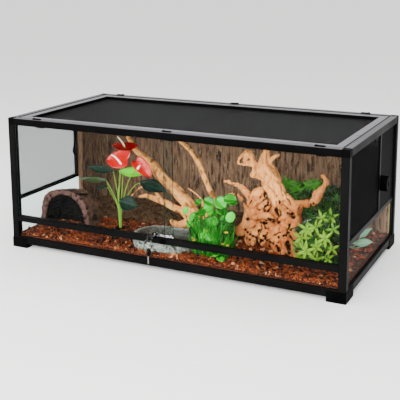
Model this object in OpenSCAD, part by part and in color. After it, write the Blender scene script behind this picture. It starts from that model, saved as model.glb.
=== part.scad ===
// Reptile terrarium: a knock-down frame with sliding glass doors, a lift-off screen lid and its furnishing.
// Millimetres. X runs left to right, Y from the front to the back, Z up from the surface that it stands on.

/* [Tank] */
// Width across the corner posts
tank_w = 1216; // [1100:1:1400]
// Depth across the corner posts
tank_d = 608; // [520:1:720]
// Height from the surface that it stands on to the top of the rails
tank_h = 465; // [440:1:600]
// Width and depth of a corner post and of the rails, seen from above
post = 25; // [24:0.5:32]
// Height of the top and bottom rails
rail_h = 24; // [23:0.5:32]
// Chamfer on the long edges of the posts and rails
edge = 1.2; // [0.6:0.1:2]
// Clearance between pieces that are set beside or into each other
gap = 0.3; // [0.2:0.05:0.4]

/* [Feet] */
// Height of the rails above the surface that it stands on
foot_h = 15; // [10:1:25]
// Length of a foot along the front
foot_x = 62; // [50:1:90]
// Length of a foot along the side
foot_y = 78; // [50:1:100]
// How far a foot's skirt stands proud of the rails
skirt_t = 1.5; // [1:0.1:2]
// Height of the skirt above the underside of the rails
skirt_h = 20; // [12:1:22]
// Side of the square pad inside each foot that carries the floor pan
pad = 15; // [10:1:25]

/* [Glazing] */
// Thickness of the fixed glass
glass_t = 4; // [3:0.5:5]
// Depth of the grooves that hold glass, panels and screens
seat = 6; // [4:0.5:7]
// Middle of the glazing, measured in from the outer face of the frame
glaze_in = 9; // [8:0.5:10]
// Thickness of a side screen and of the lid screen
screen_t = 0.8; // [0.6:0.1:1.2]
// Thickness of the solid rear side panels
panel_t = 3; // [2:0.5:4]
// Height of the lower side glass that shows
side_glass_h = 125; // [90:1:150]
// Height of the bar above the lower side glass
side_bar_h = 16; // [13:0.5:22]
// Thickness of the side bars, the upright dividers and the rear mullion
bar_t = 7; // [6:0.5:8]
// Width of the upright dividers
divider_w = 13; // [13:0.5:20]
// From the middle of the tank's depth back to the upright dividers
divider_back = 77; // [40:1:110]
// Width of the rear mullion
mullion_w = 20; // [14:0.5:30]

/* [Doors] */
// Height of the fixed glass that shows below the doors
low_glass_h = 56; // [40:1:90]
// Height of the rail that carries the doors
door_rail_h = 18; // [15:0.5:24]
// Thickness of a door
door_t = 4; // [3:0.5:5]
// From the front of the frame to the front of the front door
door_in = 5; // [4.5:0.1:6]
// From the front of the front door to the front of the rear door
door_step = 11; // [10:0.5:12]
// How far the doors overlap when closed
door_lap = 38; // [30:1:60]
// From the middle of the tank to the middle of the lap
lap_right = 15; // [0:1:40]
// Depth of the lower door grooves
groove_low = 6; // [4:0.5:8]
// Depth of the upper door grooves
groove_high = 13; // [12.5:0.5:13.5]
// Width of the stop block on the door rail
stop_w = 19; // [12:1:30]
// Thickness of the stop block
stop_t = 3; // [2:0.5:5]

/* [Lock] */
// Diameter of the lock barrel
barrel_d = 20; // [18:0.5:22]
// Length of the lock barrel
barrel_l = 20.6; // [16:0.2:26]
// From the right edge of the front door back to the middle of the barrel
barrel_back = 67; // [62:1:76]
// Length of the toothed bar
lock_bar_l = 84; // [80:1:95]
// Height of the toothed bar
lock_bar_h = 8; // [6:0.5:9]
// Thickness of the toothed bar
lock_bar_t = 2; // [1.5:0.1:2.2]
// Spacing of the teeth
tooth = 4; // [3:0.25:6]
// Diameter of the turning plug
plug_d = 12; // [10:0.5:13]
// Diameter of a key's head
key_d = 26; // [22:1:28]
// Thickness of a key's head
key_t = 4.5; // [3.5:0.25:6]
// Length of a key's blade
blade_l = 25; // [22:1:28]
// Diameter of the hole in a key's head
key_hole_d = 5; // [4.6:0.1:5.6]
// Diameter of the key ring, measured at the middle of its wire
ring_d = 32; // [30:1:38]
// Diameter of the key ring's wire
ring_wire_d = 1.8; // [1.5:0.1:2.2]

/* [Lid] */
// Width of the lid's frame
lid_bar_w = 30; // [24:1:40]
// Height of the lid's frame
lid_h = 15; // [12:0.5:16]
// Clearance round the lid
lid_gap = 1; // [0.6:0.1:2]
// How far the lid sits below the top of the rails
lid_down = 1; // [0.5:0.1:2]
// Width of the ledge that carries the lid
ledge_w = 12; // [8:0.5:14]
// Thickness of the ledge
ledge_t = 3; // [2:0.5:3.5]
// Height of the screen above the underside of the lid
screen_up = 3; // [2:0.5:5]
// Width of the bar under the middle of the screen
lid_mid_w = 20; // [14:1:30]
// Height of that bar
lid_mid_h = 12; // [8:0.5:20]
// Length of a turn button from its pivot to its tip
button_l = 28; // [24:1:32]
// Width of a turn button
button_w = 12; // [10:0.5:13]
// Thickness of a turn button
button_t = 3; // [2:0.5:4]
// Diameter of a turn button's pin
pin_d = 4; // [3:0.5:4.5]
// Depth of a pin in the rail
pin_deep = 9; // [6:0.5:10]
// From the outer side of a post to the nearest turn button's pivot
button_in = 104; // [80:1:200]
// Width of a guide tab under the ledge
guide_w = 28; // [20:1:40]
// Height of a guide tab
guide_h = 13; // [8:0.5:20]

/* [Cable ports] */
// Diameter of a cable port's flange
port_d = 54; // [48:1:60]
// Diameter of the bore that the cap turns in
port_bore_d = 38; // [34:1:42]
// How far a port's cap stands out from the panel
port_out = 22; // [16:0.5:26]
// From the upright divider back to the edge of the port
port_back = 4; // [3:1:40]
// Height of the port above the side bar
port_up = 85; // [60:1:140]
// Height of the cable slot
slot_h = 18; // [12:0.5:20]
// Width of the cable slot
slot_w = 10; // [6:0.5:12]

/* [Thumb screws] */
// Diameter of a thumb screw's head
thumb_d = 16; // [12:0.5:20]
// How far a thumb screw stands out
thumb_out = 18; // [12:0.5:24]
// Height of the lower thumb screws above the surface that it stands on
thumb_low = 51; // [45:1:80]
// Height of the upper thumb screws
thumb_high = 200; // [150:1:260]
// Diameter of a thumb screw's shank
shank_d = 6; // [5:0.5:8]
// Length of the shank in the post
shank_l = 12; // [8:0.5:12]

/* [Bedding and background] */
// Thickness of the floor pan
pan_t = 3; // [2:0.5:4]
// Height of the top of the bedding above the bottom rails
bed_up = 7; // [4:0.5:20]
// Thickness of the moulded background
board_t = 24; // [18:0.5:30]
// Height of the background
board_h = 306; // [250:1:370]
// Outer radius of the background's bend at the left rear corner
board_r = 90; // [60:1:110]

/* [Hide] */
// Outer width of the half log at its mouth
hide_w = 214; // [180:1:216]
// Outer height of the half log at its mouth
hide_h = 148; // [120:1:150]
// Wall of the half log at its mouth
hide_wall = 22; // [16:1:28]
// Length of the half log
hide_l = 100; // [80:1:125]
// Share of the mouth's width and height that is left at the far end
hide_taper = 0.86; // [0.8:0.01:1]
// From the left glass to the middle of the mouth
hide_in_x = 127; // [112:1:150]
// From the front of the frame to the middle of the mouth
hide_in_y = 118; // [112:1:150]

/* [Water dish] */
// Length of the dish
dish_l = 236; // [200:1:250]
// Width of the dish
dish_w = 172; // [140:1:180]
// Height of the dish
dish_h = 44; // [34:1:55]
// Depth of the dish's hollow
dish_deep = 26; // [18:1:30]
// Width of the dish's rim
dish_rim = 20; // [14:1:26]
// From the front of the frame to the middle of the dish
dish_in_y = 114; // [112:1:125]
// From the middle of the tank left to the middle of the dish
dish_left = 52; // [40:1:60]

/* [Plants and wood] */
// Diameter of the weighted base of the flowering plant
base_d = 44; // [36:1:52]
// From the left glass to the flowering plant
flower_in_x = 315; // [305:1:345]
// From the middle of the tank's depth to the flowering plant, towards the front
flower_front = 110; // [90:1:125]
// From the middle of the tank to the foot of the left branch
branch_left = 40; // [30:1:60]
// From the right glass to the middle of the large stump
stump_in_x = 330; // [320:1:360]
// From the middle of the tank's depth to the stump, towards the front
stump_front = 45; // [35:1:55]
// From the front of the frame to the leafy plant in the middle
leafy_in_y = 92; // [85:1:95]
// From the right glass to the plants on the right
star_in_x = 142; // [130:1:150]
// Thickness of a leaf
leaf_t = 1.6; // [1.2:0.2:2.4]

/* [Loose chips] */
// Spacing of the large bark chips that lie loose on the bedding
chip_step = 74; // [64:2:100]
// Length of a loose chip
chip_l = 46; // [30:1:54]
// Height of the tallest loose chip
chip_h = 9; // [5:0.5:12]

/* [Hidden] */

// Smoothness of round pieces that turn or fit
$fn = 48;
// Running clearance of a pin or plug in its bore, on the radius
run = 0.05;
// Overcut that keeps cut faces clean
cut = 1;

// The frame is set so that the origin lies under the middle of everything, keys and thumb screws included
key_hole_out = key_d / 2 - key_hole_d / 2 - 2;
key_hole_turn = 40;
barrel_off = 0.4;
key_axis_out = barrel_l + barrel_off - door_in;
head_off = 2;
head_mid_out = key_axis_out + head_off + key_d / 2;
ring_out = head_mid_out + key_hole_out * cos(key_hole_turn);
front_reach = ring_out + key_d / 2;
front_y = -(tank_d + front_reach + thumb_out) / 2 + front_reach;
rear_y = front_y + tank_d;
mid_y = (front_y + rear_y) / 2;
half_w = tank_w / 2;
in_x = half_w - post;
in_front = front_y + post;
in_rear = rear_y - post;

// Heights
z_floor = foot_h;
z_low = foot_h + rail_h;
z_door = z_low + low_glass_h;
z_track = z_door + door_rail_h;
z_top = tank_h - rail_h;
z_side = z_low + side_glass_h;
z_side_top = z_side + side_bar_h;
z_lid = tank_h - lid_down - lid_h;
z_ledge = z_lid - gap - ledge_t;
z_bed = z_low + bed_up;

// Glazing planes and the places of the dividers and ports
side_x = half_w - glaze_in;
glass_in_x = side_x - bar_t / 2;
rear_pane_y = rear_y - glaze_in;
front_pane_y = front_y + glaze_in;
divider_y = mid_y + divider_back;
port_y = divider_y + divider_w + port_back + port_d / 2;
port_z = z_side_top + port_up;

// Doors
door_edge_left = lap_right + door_lap / 2;
door_edge_right = lap_right - door_lap / 2;
door_front_y = front_y + door_in;
door_rear_y = door_front_y + door_step;
door_z0 = z_track - groove_low + gap;
door_z1 = z_top + groove_low + 2 * gap;

// Lock
lock_x = door_edge_left - barrel_back;
lock_z = z_track + barrel_d / 2 + 1.5;
bar_off = 1.6;
lock_bar_y = door_front_y - bar_off - lock_bar_t;
barrel_front_y = door_front_y - barrel_off - barrel_l;
head_y = barrel_front_y - head_off - key_d / 2;
key_hole_y = head_y - key_hole_out * cos(key_hole_turn);
key_hole_z = lock_z - key_hole_out * sin(key_hole_turn);
wire_r = ring_wire_d / 2;
ring_r = ring_d / 2;
hang = key_hole_d / 2 - wire_r - gap;
ring_top_z = key_hole_z - hang;
ring_z = ring_top_z - ring_r;
spare_hole_z = ring_z - ring_r - hang;

// Lid
lid_x = in_x - lid_gap;
lid_y0 = in_front + lid_gap;
lid_y1 = in_rear - lid_gap;
button_y = post / 2;
button_x = half_w - button_in;

// Small boxes, given by their lowest and highest corners
module block(lo, hi) {
    translate(lo) cube(hi - lo);
}

// The space that a pane needs in the members that hold it
module space(b) {
    block(b[0] - gap * [1, 1, 1], b[1] + gap * [1, 1, 1]);
}

// Panes, each as its lowest and highest corner; s is -1 on the left and 1 on the right
reach = seat - gap;
function front_pane() = [[-in_x - reach, front_pane_y - glass_t / 2, z_low - reach],
    [in_x + reach, front_pane_y + glass_t / 2, z_door + reach]];
function side_pane(s) = [[s * side_x - glass_t / 2, in_front - reach, z_low - reach],
    [s * side_x + glass_t / 2, in_rear + reach, z_side + reach - 1]];
function side_screen(s) = [[s * side_x - screen_t / 2, in_front - reach, z_side_top - reach + 1],
    [s * side_x + screen_t / 2, divider_y + divider_w / 2 - 1, z_top + reach]];
function side_panel(s) = [
    [s * side_x - panel_t / 2, divider_y + divider_w / 2 + 1, z_side_top - reach + 1],
    [s * side_x + panel_t / 2, in_rear + reach, z_top + reach]];
function rear_pane(s) = [
    [s < 0 ? -in_x - reach : 1, rear_pane_y - glass_t / 2, z_low - reach],
    [s < 0 ? -1 : in_x + reach, rear_pane_y + glass_t / 2, z_top + reach]];
screen_z = z_lid + screen_up;
screen_edge = lid_bar_w - reach;
function lid_screen_box() = [[-lid_x + screen_edge, lid_y0 + screen_edge, screen_z],
    [lid_x - screen_edge, lid_y1 - screen_edge, screen_z + screen_t]];

// All panes together, cut out of the members that hold them
module glazing_space() {
    space(front_pane());
    for (s = [-1, 1]) {
        space(side_pane(s));
        space(side_screen(s));
        space(side_panel(s));
        space(rear_pane(s));
    }
}

// Cross-section of a member with chamfered edges, its lowest corner at the origin
module section(w, h, c = edge) {
    polygon([[c, 0], [w - c, 0], [w, c], [w, h - c], [w - c, h], [c, h], [0, h - c], [0, c]]);
}

// Member along X, Y or Z between two corners
module member_x(lo, hi) {
    translate([lo[0], lo[1], lo[2]]) rotate([90, 0, 90])
        linear_extrude(hi[0] - lo[0]) section(hi[1] - lo[1], hi[2] - lo[2]);
}

module member_y(lo, hi) {
    translate([lo[0], hi[1], lo[2]]) rotate([90, 0, 0])
        linear_extrude(hi[1] - lo[1]) section(hi[0] - lo[0], hi[2] - lo[2]);
}

module member_z(lo, hi) {
    translate(lo) linear_extrude(hi[2] - lo[2]) section(hi[0] - lo[0], hi[1] - lo[1], edge * 1.6);
}

// Prongs of a top corner piece, for the corner at sx, sy; d widens them into their pockets
prong_l = 26;
prong_w = 12;
prong_h = 8;
module prongs(sx, sy, d = 0) {
    cx = sx * (half_w - post / 2);
    cy = sy < 0 ? front_y + post / 2 : rear_y - post / 2;
    pz = tank_h - 1.5 - prong_h;
    long = post / 2 + prong_l + d;
    block([min(cx, cx - sx * long), cy - prong_w / 2 - d, pz - d],
        [max(cx, cx - sx * long), cy + prong_w / 2 + d, pz + prong_h + d]);
    block([cx - prong_w / 2 - d, min(cy, cy - sy * long), pz - d],
        [cx + prong_w / 2 + d, max(cy, cy - sy * long), pz + prong_h + d]);
    block([cx - prong_w / 2 - d, cy - prong_w / 2 - d, z_top - prong_l - d],
        [cx + prong_w / 2 + d, cy + prong_w / 2 + d, z_top + rail_h / 2]);
}

module all_prongs(d) {
    for (sx = [-1, 1], sy = [-1, 1]) prongs(sx, sy, d);
}

// Corner of a foot for the corner at sx, sy, drawn at the front left and mirrored
module foot(sx, sy) {
    translate([0, mid_y, 0]) mirror([sx > 0 ? 1 : 0, 0, 0]) mirror([0, sy > 0 ? 1 : 0, 0])
        translate([-half_w - skirt_t, -tank_d / 2 - skirt_t, 0]) {
            wide = post + skirt_t;
            pad_w = wide + pad;
            linear_extrude(foot_h) polygon([[edge, 0], [foot_x, 0], [foot_x, wide], [pad_w, wide],
                [pad_w, pad_w], [wide, pad_w], [wide, foot_y], [0, foot_y], [0, edge]]);
            linear_extrude(foot_h + skirt_h) polygon([[edge, 0], [foot_x, 0], [foot_x, skirt_t],
                [skirt_t, skirt_t], [skirt_t, foot_y], [0, foot_y], [0, edge]]);
        }
}

module feet() {
    color("#141414") for (sx = [-1, 1], sy = [-1, 1]) foot(sx, sy);
}

module corner_post(sx, sy) {
    x0 = sx < 0 ? -half_w : in_x;
    y0 = sy < 0 ? front_y : in_rear;
    color("#161616") difference() {
        member_z([x0, y0, z_floor], [x0 + post, y0 + post, z_top]);
        glazing_space();
        all_prongs(gap);
        if (sy > 0) for (z = [thumb_low, thumb_high])
            translate([sx * (half_w - post / 2), rear_y, z]) rotate([90, 0, 0])
                translate([0, 0, -cut]) cylinder(d = shank_d + 2 * run, h = shank_l + 2 * cut);
    }
}

module bottom_rail(sy) {
    y0 = sy < 0 ? front_y : in_rear;
    color("#161616") difference() {
        member_x([-in_x, y0, z_floor], [in_x, y0 + post, z_low]);
        glazing_space();
    }
}

module bottom_rails_side() {
    color("#161616") for (s = [-1, 1]) difference() {
        member_y([s < 0 ? -half_w : in_x, in_front, z_floor], [s < 0 ? -in_x : half_w, in_rear, z_low]);
        glazing_space();
    }
}

// Door channels cut along the front; z0 and z1 are the channel's floor and roof
module door_channels(z0, z1) {
    for (y = [door_front_y, door_rear_y])
        block([-in_x - cut, y - gap, z0], [in_x + cut, y + door_t + gap, z1]);
}

module ledge_x(sy) {
    y0 = sy < 0 ? in_front - cut : in_rear - ledge_w;
    block([-in_x, y0, z_ledge], [in_x, y0 + ledge_w + cut, z_ledge + ledge_t]);
}

// Places of the turn buttons: x, the side that they stand on, and the turn that lays them along the rail
button_places = [for (sy = [-1, 1], i = [-1, 0, 1]) [i * button_x, sy]];

module top_rail(sy) {
    y0 = sy < 0 ? front_y : in_rear;
    color("#161616") difference() {
        union() {
            member_x([-in_x, y0, z_top], [in_x, y0 + post, tank_h]);
            ledge_x(sy);
        }
        glazing_space();
        all_prongs(gap);
        if (sy < 0) door_channels(z_top - cut, z_top + groove_high);
        for (i = [-1, 0, 1])
            translate([i * button_x, y0 + button_y, tank_h - pin_deep])
                cylinder(d = pin_d + 2 * run, h = pin_deep + cut);
    }
}

module top_rails_side() {
    color("#161616") for (s = [-1, 1]) difference() {
        union() {
            member_y([s < 0 ? -half_w : in_x, in_front, z_top], [s < 0 ? -in_x : half_w, in_rear, tank_h]);
            block([s < 0 ? -in_x - cut : in_x - ledge_w, in_front + ledge_w, z_ledge],
                [s < 0 ? -in_x + ledge_w : in_x + cut, in_rear - ledge_w, z_ledge + ledge_t]);
        }
        glazing_space();
        all_prongs(gap);
    }
}

module top_corners() {
    color("#1a1a1a") for (sx = [-1, 1], sy = [-1, 1]) {
        x0 = sx < 0 ? -half_w : in_x;
        y0 = sy < 0 ? front_y : in_rear;
        difference() {
            union() {
                member_z([x0, y0, z_top], [x0 + post, y0 + post, tank_h]);
                prongs(sx, sy);
            }
            glazing_space();
        }
    }
}

module door_rail() {
    color("#161616") difference() {
        member_x([-in_x, front_y, z_door], [in_x, in_front, z_track]);
        glazing_space();
        door_channels(z_track - groove_low, z_track + cut);
    }
}

module side_bars() {
    color("#161616") for (s = [-1, 1]) difference() {
        member_y([s * side_x - bar_t / 2, in_front, z_side], [s * side_x + bar_t / 2, in_rear, z_side_top]);
        glazing_space();
    }
}

module side_dividers() {
    color("#161616") for (s = [-1, 1]) difference() {
        block([s * side_x - bar_t / 2, divider_y, z_side_top],
            [s * side_x + bar_t / 2, divider_y + divider_w, z_top]);
        space(side_screen(s));
        space(side_panel(s));
    }
}

module rear_mullion() {
    color("#161616") difference() {
        block([-mullion_w / 2, rear_pane_y - bar_t / 2, z_low],
            [mullion_w / 2, rear_pane_y + bar_t / 2, z_top]);
        glazing_space();
    }
}

module pane(b) {
    block(b[0], b[1]);
}

module front_glass() {
    color("#cfe6df", 0.3) pane(front_pane());
}

module side_glass() {
    color("#cfe6df", 0.3) for (s = [-1, 1]) pane(side_pane(s));
}

module side_screens() {
    color("#3b3b3e") for (s = [-1, 1]) pane(side_screen(s));
}

module rear_glass() {
    color("#cfe6df", 0.3) for (s = [-1, 1]) pane(rear_pane(s));
}

// Sleeve of a cable port, through its panel
sleeve_r = port_bore_d / 2 + 4;
module side_panels() {
    color("#1c1b1b") for (s = [-1, 1]) difference() {
        pane(side_panel(s));
        translate([s * side_x, port_y, port_z]) rotate([0, 90, 0])
            cylinder(r = sleeve_r + gap, h = 4 * panel_t, center = true);
    }
}

module floor_pan() {
    color("#202020") difference() {
        block([-in_x + gap, in_front + gap, z_floor], [in_x - gap, in_rear - gap, z_low - gap]);
        block([-in_x + gap + pan_t, in_front + gap + pan_t, z_floor + pan_t],
            [in_x - gap - pan_t, in_rear - gap - pan_t, z_low + cut]);
    }
}

module lid_bar_front_rear(sy) {
    y0 = sy < 0 ? lid_y0 : lid_y1 - lid_bar_w;
    color("#1b1b1c") difference() {
        member_x([-lid_x, y0, z_lid], [lid_x, y0 + lid_bar_w, z_lid + lid_h]);
        space(lid_screen_box());
    }
}

module lid_bars_side() {
    color("#1b1b1c") for (s = [-1, 1]) difference() {
        member_y([s < 0 ? -lid_x : lid_x - lid_bar_w, lid_y0 + lid_bar_w, z_lid],
            [s < 0 ? -lid_x + lid_bar_w : lid_x, lid_y1 - lid_bar_w, z_lid + lid_h]);
        space(lid_screen_box());
    }
}

module lid_centre_bar() {
    color("#1b1b1c") block([-lid_mid_w / 2, lid_y0 + lid_bar_w, screen_z - lid_mid_h],
        [lid_mid_w / 2, lid_y1 - lid_bar_w, screen_z]);
}

module lid_screen() {
    color("#3b3b3e") pane(lid_screen_box());
}

// Turn button: a bar with round ends on a pin near one end, laid along the rail
module turn_button(x, sy) {
    y = sy < 0 ? front_y + button_y : rear_y - button_y;
    r = button_w / 2;
    color("#101010") translate([x, y, tank_h + gap]) rotate([0, 0, sy < 0 ? 0 : 180]) difference() {
        union() {
            cylinder(r = r, h = button_t);
            translate([0, -r, 0]) cube([button_l - r, button_w, button_t]);
            translate([button_l - r, 0, 0]) cylinder(r = r, h = button_t);
        }
        translate([0, 0, -cut]) cylinder(d = pin_d + 2 * run, h = button_t + 2 * cut);
    }
}

module button_pins() {
    color("#2a2a2a") for (p = button_places) {
        y = p[1] < 0 ? front_y + button_y : rear_y - button_y;
        translate([p[0], y, tank_h - pin_deep]) cylinder(d = pin_d, h = pin_deep + 2 * gap + button_t);
        translate([p[0], y, tank_h + 2 * gap + button_t]) cylinder(d = 1.9 * pin_d, h = 1.4);
    }
}

module lid_guides() {
    color("#101010") for (p = button_places) {
        y0 = p[1] < 0 ? in_front : in_rear - 3;
        block([p[0] + (p[1] < 0 ? 0 : -guide_w), y0, z_ledge - guide_h],
            [p[0] + (p[1] < 0 ? guide_w : 0), y0 + 3, z_ledge]);
    }
}

module door_left() {
    color("#d8ece6", 0.3) block([-in_x + 0.5, door_front_y, door_z0],
        [door_edge_left, door_front_y + door_t, door_z1]);
}

module door_right() {
    color("#d8ece6", 0.3) block([door_edge_right, door_rear_y, door_z0],
        [in_x - 0.5, door_rear_y + door_t, door_z1]);
}

module door_stop() {
    color("#0c0c0c") block([-stop_w / 2, front_y - stop_t, z_door + edge], [stop_w / 2, front_y, z_track]);
}

// Toothed bar, hooked round the right edge of the front door
module lock_bar() {
    x1 = door_edge_left + gap + lock_bar_t;
    x0 = x1 - lock_bar_l;
    low = lock_z - lock_bar_h / 2;
    hook_y = door_front_y + door_t + gap;
    deep = 1.6;
    teeth = floor((lock_bar_l - 24) / tooth);
    color("#c9c9cc") {
        translate([x0, lock_bar_y + lock_bar_t, low]) rotate([90, 0, 0]) linear_extrude(lock_bar_t)
            polygon(concat([[0, 0], [lock_bar_l, 0], [lock_bar_l, lock_bar_h], [teeth * tooth, lock_bar_h]],
                [for (i = [teeth - 1:-1:0], j = [0, 1])
                    j == 0 ? [i * tooth + 0.6, lock_bar_h - deep] : [i * tooth, lock_bar_h]]));
        block([x1 - lock_bar_t, lock_bar_y, low], [x1, hook_y + lock_bar_t, low + lock_bar_h]);
        block([x1 - 16, hook_y, low], [x1, hook_y + lock_bar_t, low + lock_bar_h]);
    }
}

// Barrel that slides along the toothed bar; the plug turns in its bore
plug_l = barrel_l - 6;
module lock_barrel() {
    color("#c9c9cc") difference() {
        translate([lock_x, barrel_front_y, lock_z]) rotate([-90, 0, 0]) cylinder(d = barrel_d, h = barrel_l);
        translate([lock_x, barrel_front_y - cut, lock_z]) rotate([-90, 0, 0])
            cylinder(d = plug_d + 2 * run, h = plug_l - 1 + cut);
        block([lock_x - barrel_d, lock_bar_y - gap, lock_z - lock_bar_h / 2 - gap],
            [lock_x + barrel_d, lock_bar_y + lock_bar_t + gap, lock_z + lock_bar_h / 2 + gap]);
    }
}

blade_w = 7;
blade_t = 2;
module lock_plug() {
    color("#b4b4b8") difference() {
        translate([lock_x, barrel_front_y - barrel_off, lock_z]) rotate([-90, 0, 0])
            cylinder(d = plug_d, h = plug_l - 1);
        block([lock_x - blade_t / 2 - run, barrel_front_y - cut, lock_z - blade_w / 2 - run],
            [lock_x + blade_t / 2 + run, barrel_front_y + plug_l - 3, lock_z + blade_w / 2 + run]);
    }
}

// A key with its head's middle at the origin, its blade along -Z and its hole above, at the turn given
module key_shape(turn, blade) {
    color("#0e0e0e") difference() {
        rotate([0, 90, 0]) cylinder(d = key_d, h = key_t, center = true);
        rotate([turn, 0, 0]) translate([0, 0, key_hole_out]) rotate([0, 90, 0])
            cylinder(d = key_hole_d, h = key_t + 2 * cut, center = true);
    }
    color("#b9b2a4") translate([-blade_t / 2, -blade_w / 2, -key_d / 2 - blade])
        cube([blade_t, blade_w, blade + 2]);
}

module key() {
    translate([lock_x, head_y, lock_z]) rotate([90, 0, 0]) key_shape(key_hole_turn, plug_l - 4);
}

module key_ring() {
    color("#d0d0d4") translate([lock_x, key_hole_y, ring_z]) rotate([90, 0, 0])
        rotate_extrude() translate([ring_r, 0]) circle(r = wire_r, $fn = 16);
}

module spare_key() {
    translate([lock_x, key_hole_y, spare_hole_z - key_hole_out]) key_shape(0, blade_l);
}

// Cable port: a fixed ring with a sleeve through the panel, and a ribbed cap that turns in it
flange_t = 3;
module port_ring(s) {
    translate([s * side_x, port_y, port_z]) rotate([0, s * 90, 0]) difference() {
        union() {
            translate([0, 0, panel_t / 2]) cylinder(d = port_d, h = flange_t);
            translate([0, 0, -panel_t / 2 - 1.8]) cylinder(r = sleeve_r, h = panel_t + 2);
        }
        translate([0, 0, -panel_t * 2]) cylinder(d = port_bore_d, h = 6 * panel_t);
    }
}

module port_rings() {
    color("#121212") for (s = [-1, 1]) port_ring(s);
}

module port_cap(s) {
    ribs = 24;
    base = panel_t / 2 + flange_t + gap;
    tall = port_out - flange_t - gap;
    color("#121212") translate([s * side_x, port_y, port_z]) rotate([0, s * 90, 0]) difference() {
        union() {
            translate([0, 0, -panel_t / 2 - 1.8])
                cylinder(r = port_bore_d / 2 - run, h = base + panel_t / 2 + 2);
            translate([0, 0, base]) cylinder(d = port_d - 5, h = tall);
            for (i = [0:ribs - 1]) rotate([0, 0, (i + 0.4) * 360 / ribs])
                translate([port_d / 2 - 4, -1, base + 1]) cube([3, 2, tall - 3]);
        }
        translate([-slot_h / 2, -slot_w / 2, -panel_t * 2]) cube([slot_h, slot_w, port_out + 4 * panel_t]);
    }
}

module thumb_screws() {
    color("#8c8c90") for (s = [-1, 1], z = [thumb_low, thumb_high])
        translate([s * (half_w - post / 2), rear_y, z]) rotate([90, 0, 0]) {
            translate([0, 0, -2]) cylinder(d = 0.6 * thumb_d, h = 2);
            translate([0, 0, -thumb_out]) cylinder(d = thumb_d, h = thumb_out - 2);
            translate([0, 0, -cut]) cylinder(d = shank_d, h = shank_l + cut);
        }
}

// Moulded background: along the rear wall and round the left rear corner
board_x = glass_in_x - gap;
board_back = in_rear - gap;
board_z = z_bed + gap;
module board_outline() {
    cx = -board_x + board_r;
    cy = board_back - board_r;
    translate([cx, board_back - board_t]) square([board_x - cx, board_t]);
    translate([-board_x, divider_y + divider_w + 2]) square([board_t, cy - divider_y - divider_w - 2]);
    intersection() {
        translate([cx, cy]) difference() {
            circle(r = board_r, $fn = 64);
            circle(r = board_r - board_t, $fn = 64);
        }
        translate([-board_x, cy]) square([board_r, board_r]);
    }
}

module background() {
    color("#5b4636") translate([0, 0, board_z]) linear_extrude(board_h) board_outline();
}

module bedding() {
    color("#8a3d17") {
        block([-in_x + 2 * gap + pan_t, in_front + 2 * gap + pan_t, z_floor + pan_t],
            [in_x - 2 * gap - pan_t, in_rear - 2 * gap - pan_t, z_low + gap]);
        block([-in_x + gap, front_pane_y + glass_t / 2 + gap, z_low + gap],
            [in_x - gap, rear_pane_y - bar_t / 2 - gap, z_bed]);
        block([-side_x + glass_t / 2 + gap, in_front + gap, z_low + gap],
            [side_x - glass_t / 2 - gap, in_rear - gap, z_bed]);
    }
}

// Places on the bedding that hold something, as [x, y, radius]
hide_x = -glass_in_x + hide_in_x;
hide_y = front_y + hide_in_y;
flower_x = -glass_in_x + flower_in_x;
flower_y = mid_y - flower_front;
stump_x = glass_in_x - stump_in_x;
stump_y = mid_y - stump_front;
star_x = glass_in_x - star_in_x;
star_y = front_y + 135;
leafy_x = 122;
fern_back = 95;
fern_x = 58;
taken_spots = [
    [hide_x, hide_y + hide_l / 2, norm([hide_w, hide_l]) / 2],
    [-dish_left - (dish_l - dish_w) / 2, front_y + dish_in_y, dish_w / 2],
    [-dish_left + (dish_l - dish_w) / 2, front_y + dish_in_y, dish_w / 2],
    [flower_x, flower_y, base_d / 2], [leafy_x, front_y + leafy_in_y, 40],
    [star_x - fern_x, mid_y + fern_back, 18], [star_x, star_y, 26]];

// Where runs of wood come down as low as the chips, as [x, y, radius]
function low_spots(runs, x, y) =
    [for (r = runs, p = r) if (p[2] - p[3] < chip_h) [x + p[0], y + p[1], p[3]]];

// Large bark chips lying loose on the bedding, clear of what stands on it
module bark_chips() {
    half_x = floor((board_x - board_t - chip_l) / chip_step);
    near = in_front + chip_l / 2 + 4;
    rows = floor((board_back - board_t - chip_l / 2 - 8 - near) / chip_step);
    spots = concat(taken_spots, low_spots(branch_runs, -branch_left, mid_y),
        low_spots(stump_runs, stump_x, stump_y));
    color("#a2521f") for (i = [-half_x:half_x], j = [0:rows]) {
        x = i * chip_step + 9 * sin(97 * i + 61 * j);
        y = near + j * chip_step + 4 + 4 * sin(53 * i + 131 * j);
        blocked = [for (s = spots) if (norm([x - s[0], y - s[1]]) < s[2] + chip_l / 2 + 1) 1];
        if (len(blocked) == 0) translate([x, y, z_bed]) rotate([0, 0, 67 * i + 41 * j])
            linear_extrude(chip_h * (0.75 + 0.25 * sin(77 * i + 29 * j)), scale = 0.6) scale(chip_l)
                polygon([[-0.5, -0.16], [-0.08, -0.3], [0.46, -0.2], [0.5, 0.12], [-0.24, 0.3]]);
    }
}

// Outline of a squarish arch of width w and height h, from its right foot over the top to its left
function arch(w, h) = [for (a = [0:10:180])
    [w / 2 * sign(cos(a)) * pow(abs(cos(a)), 2 / 3), h * pow(abs(sin(a)), 2 / 3)]];

// What is left of the half log's mouth at a distance behind it
function hide_share(d) = 1 - (1 - hide_taper) * d / hide_l;

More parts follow.
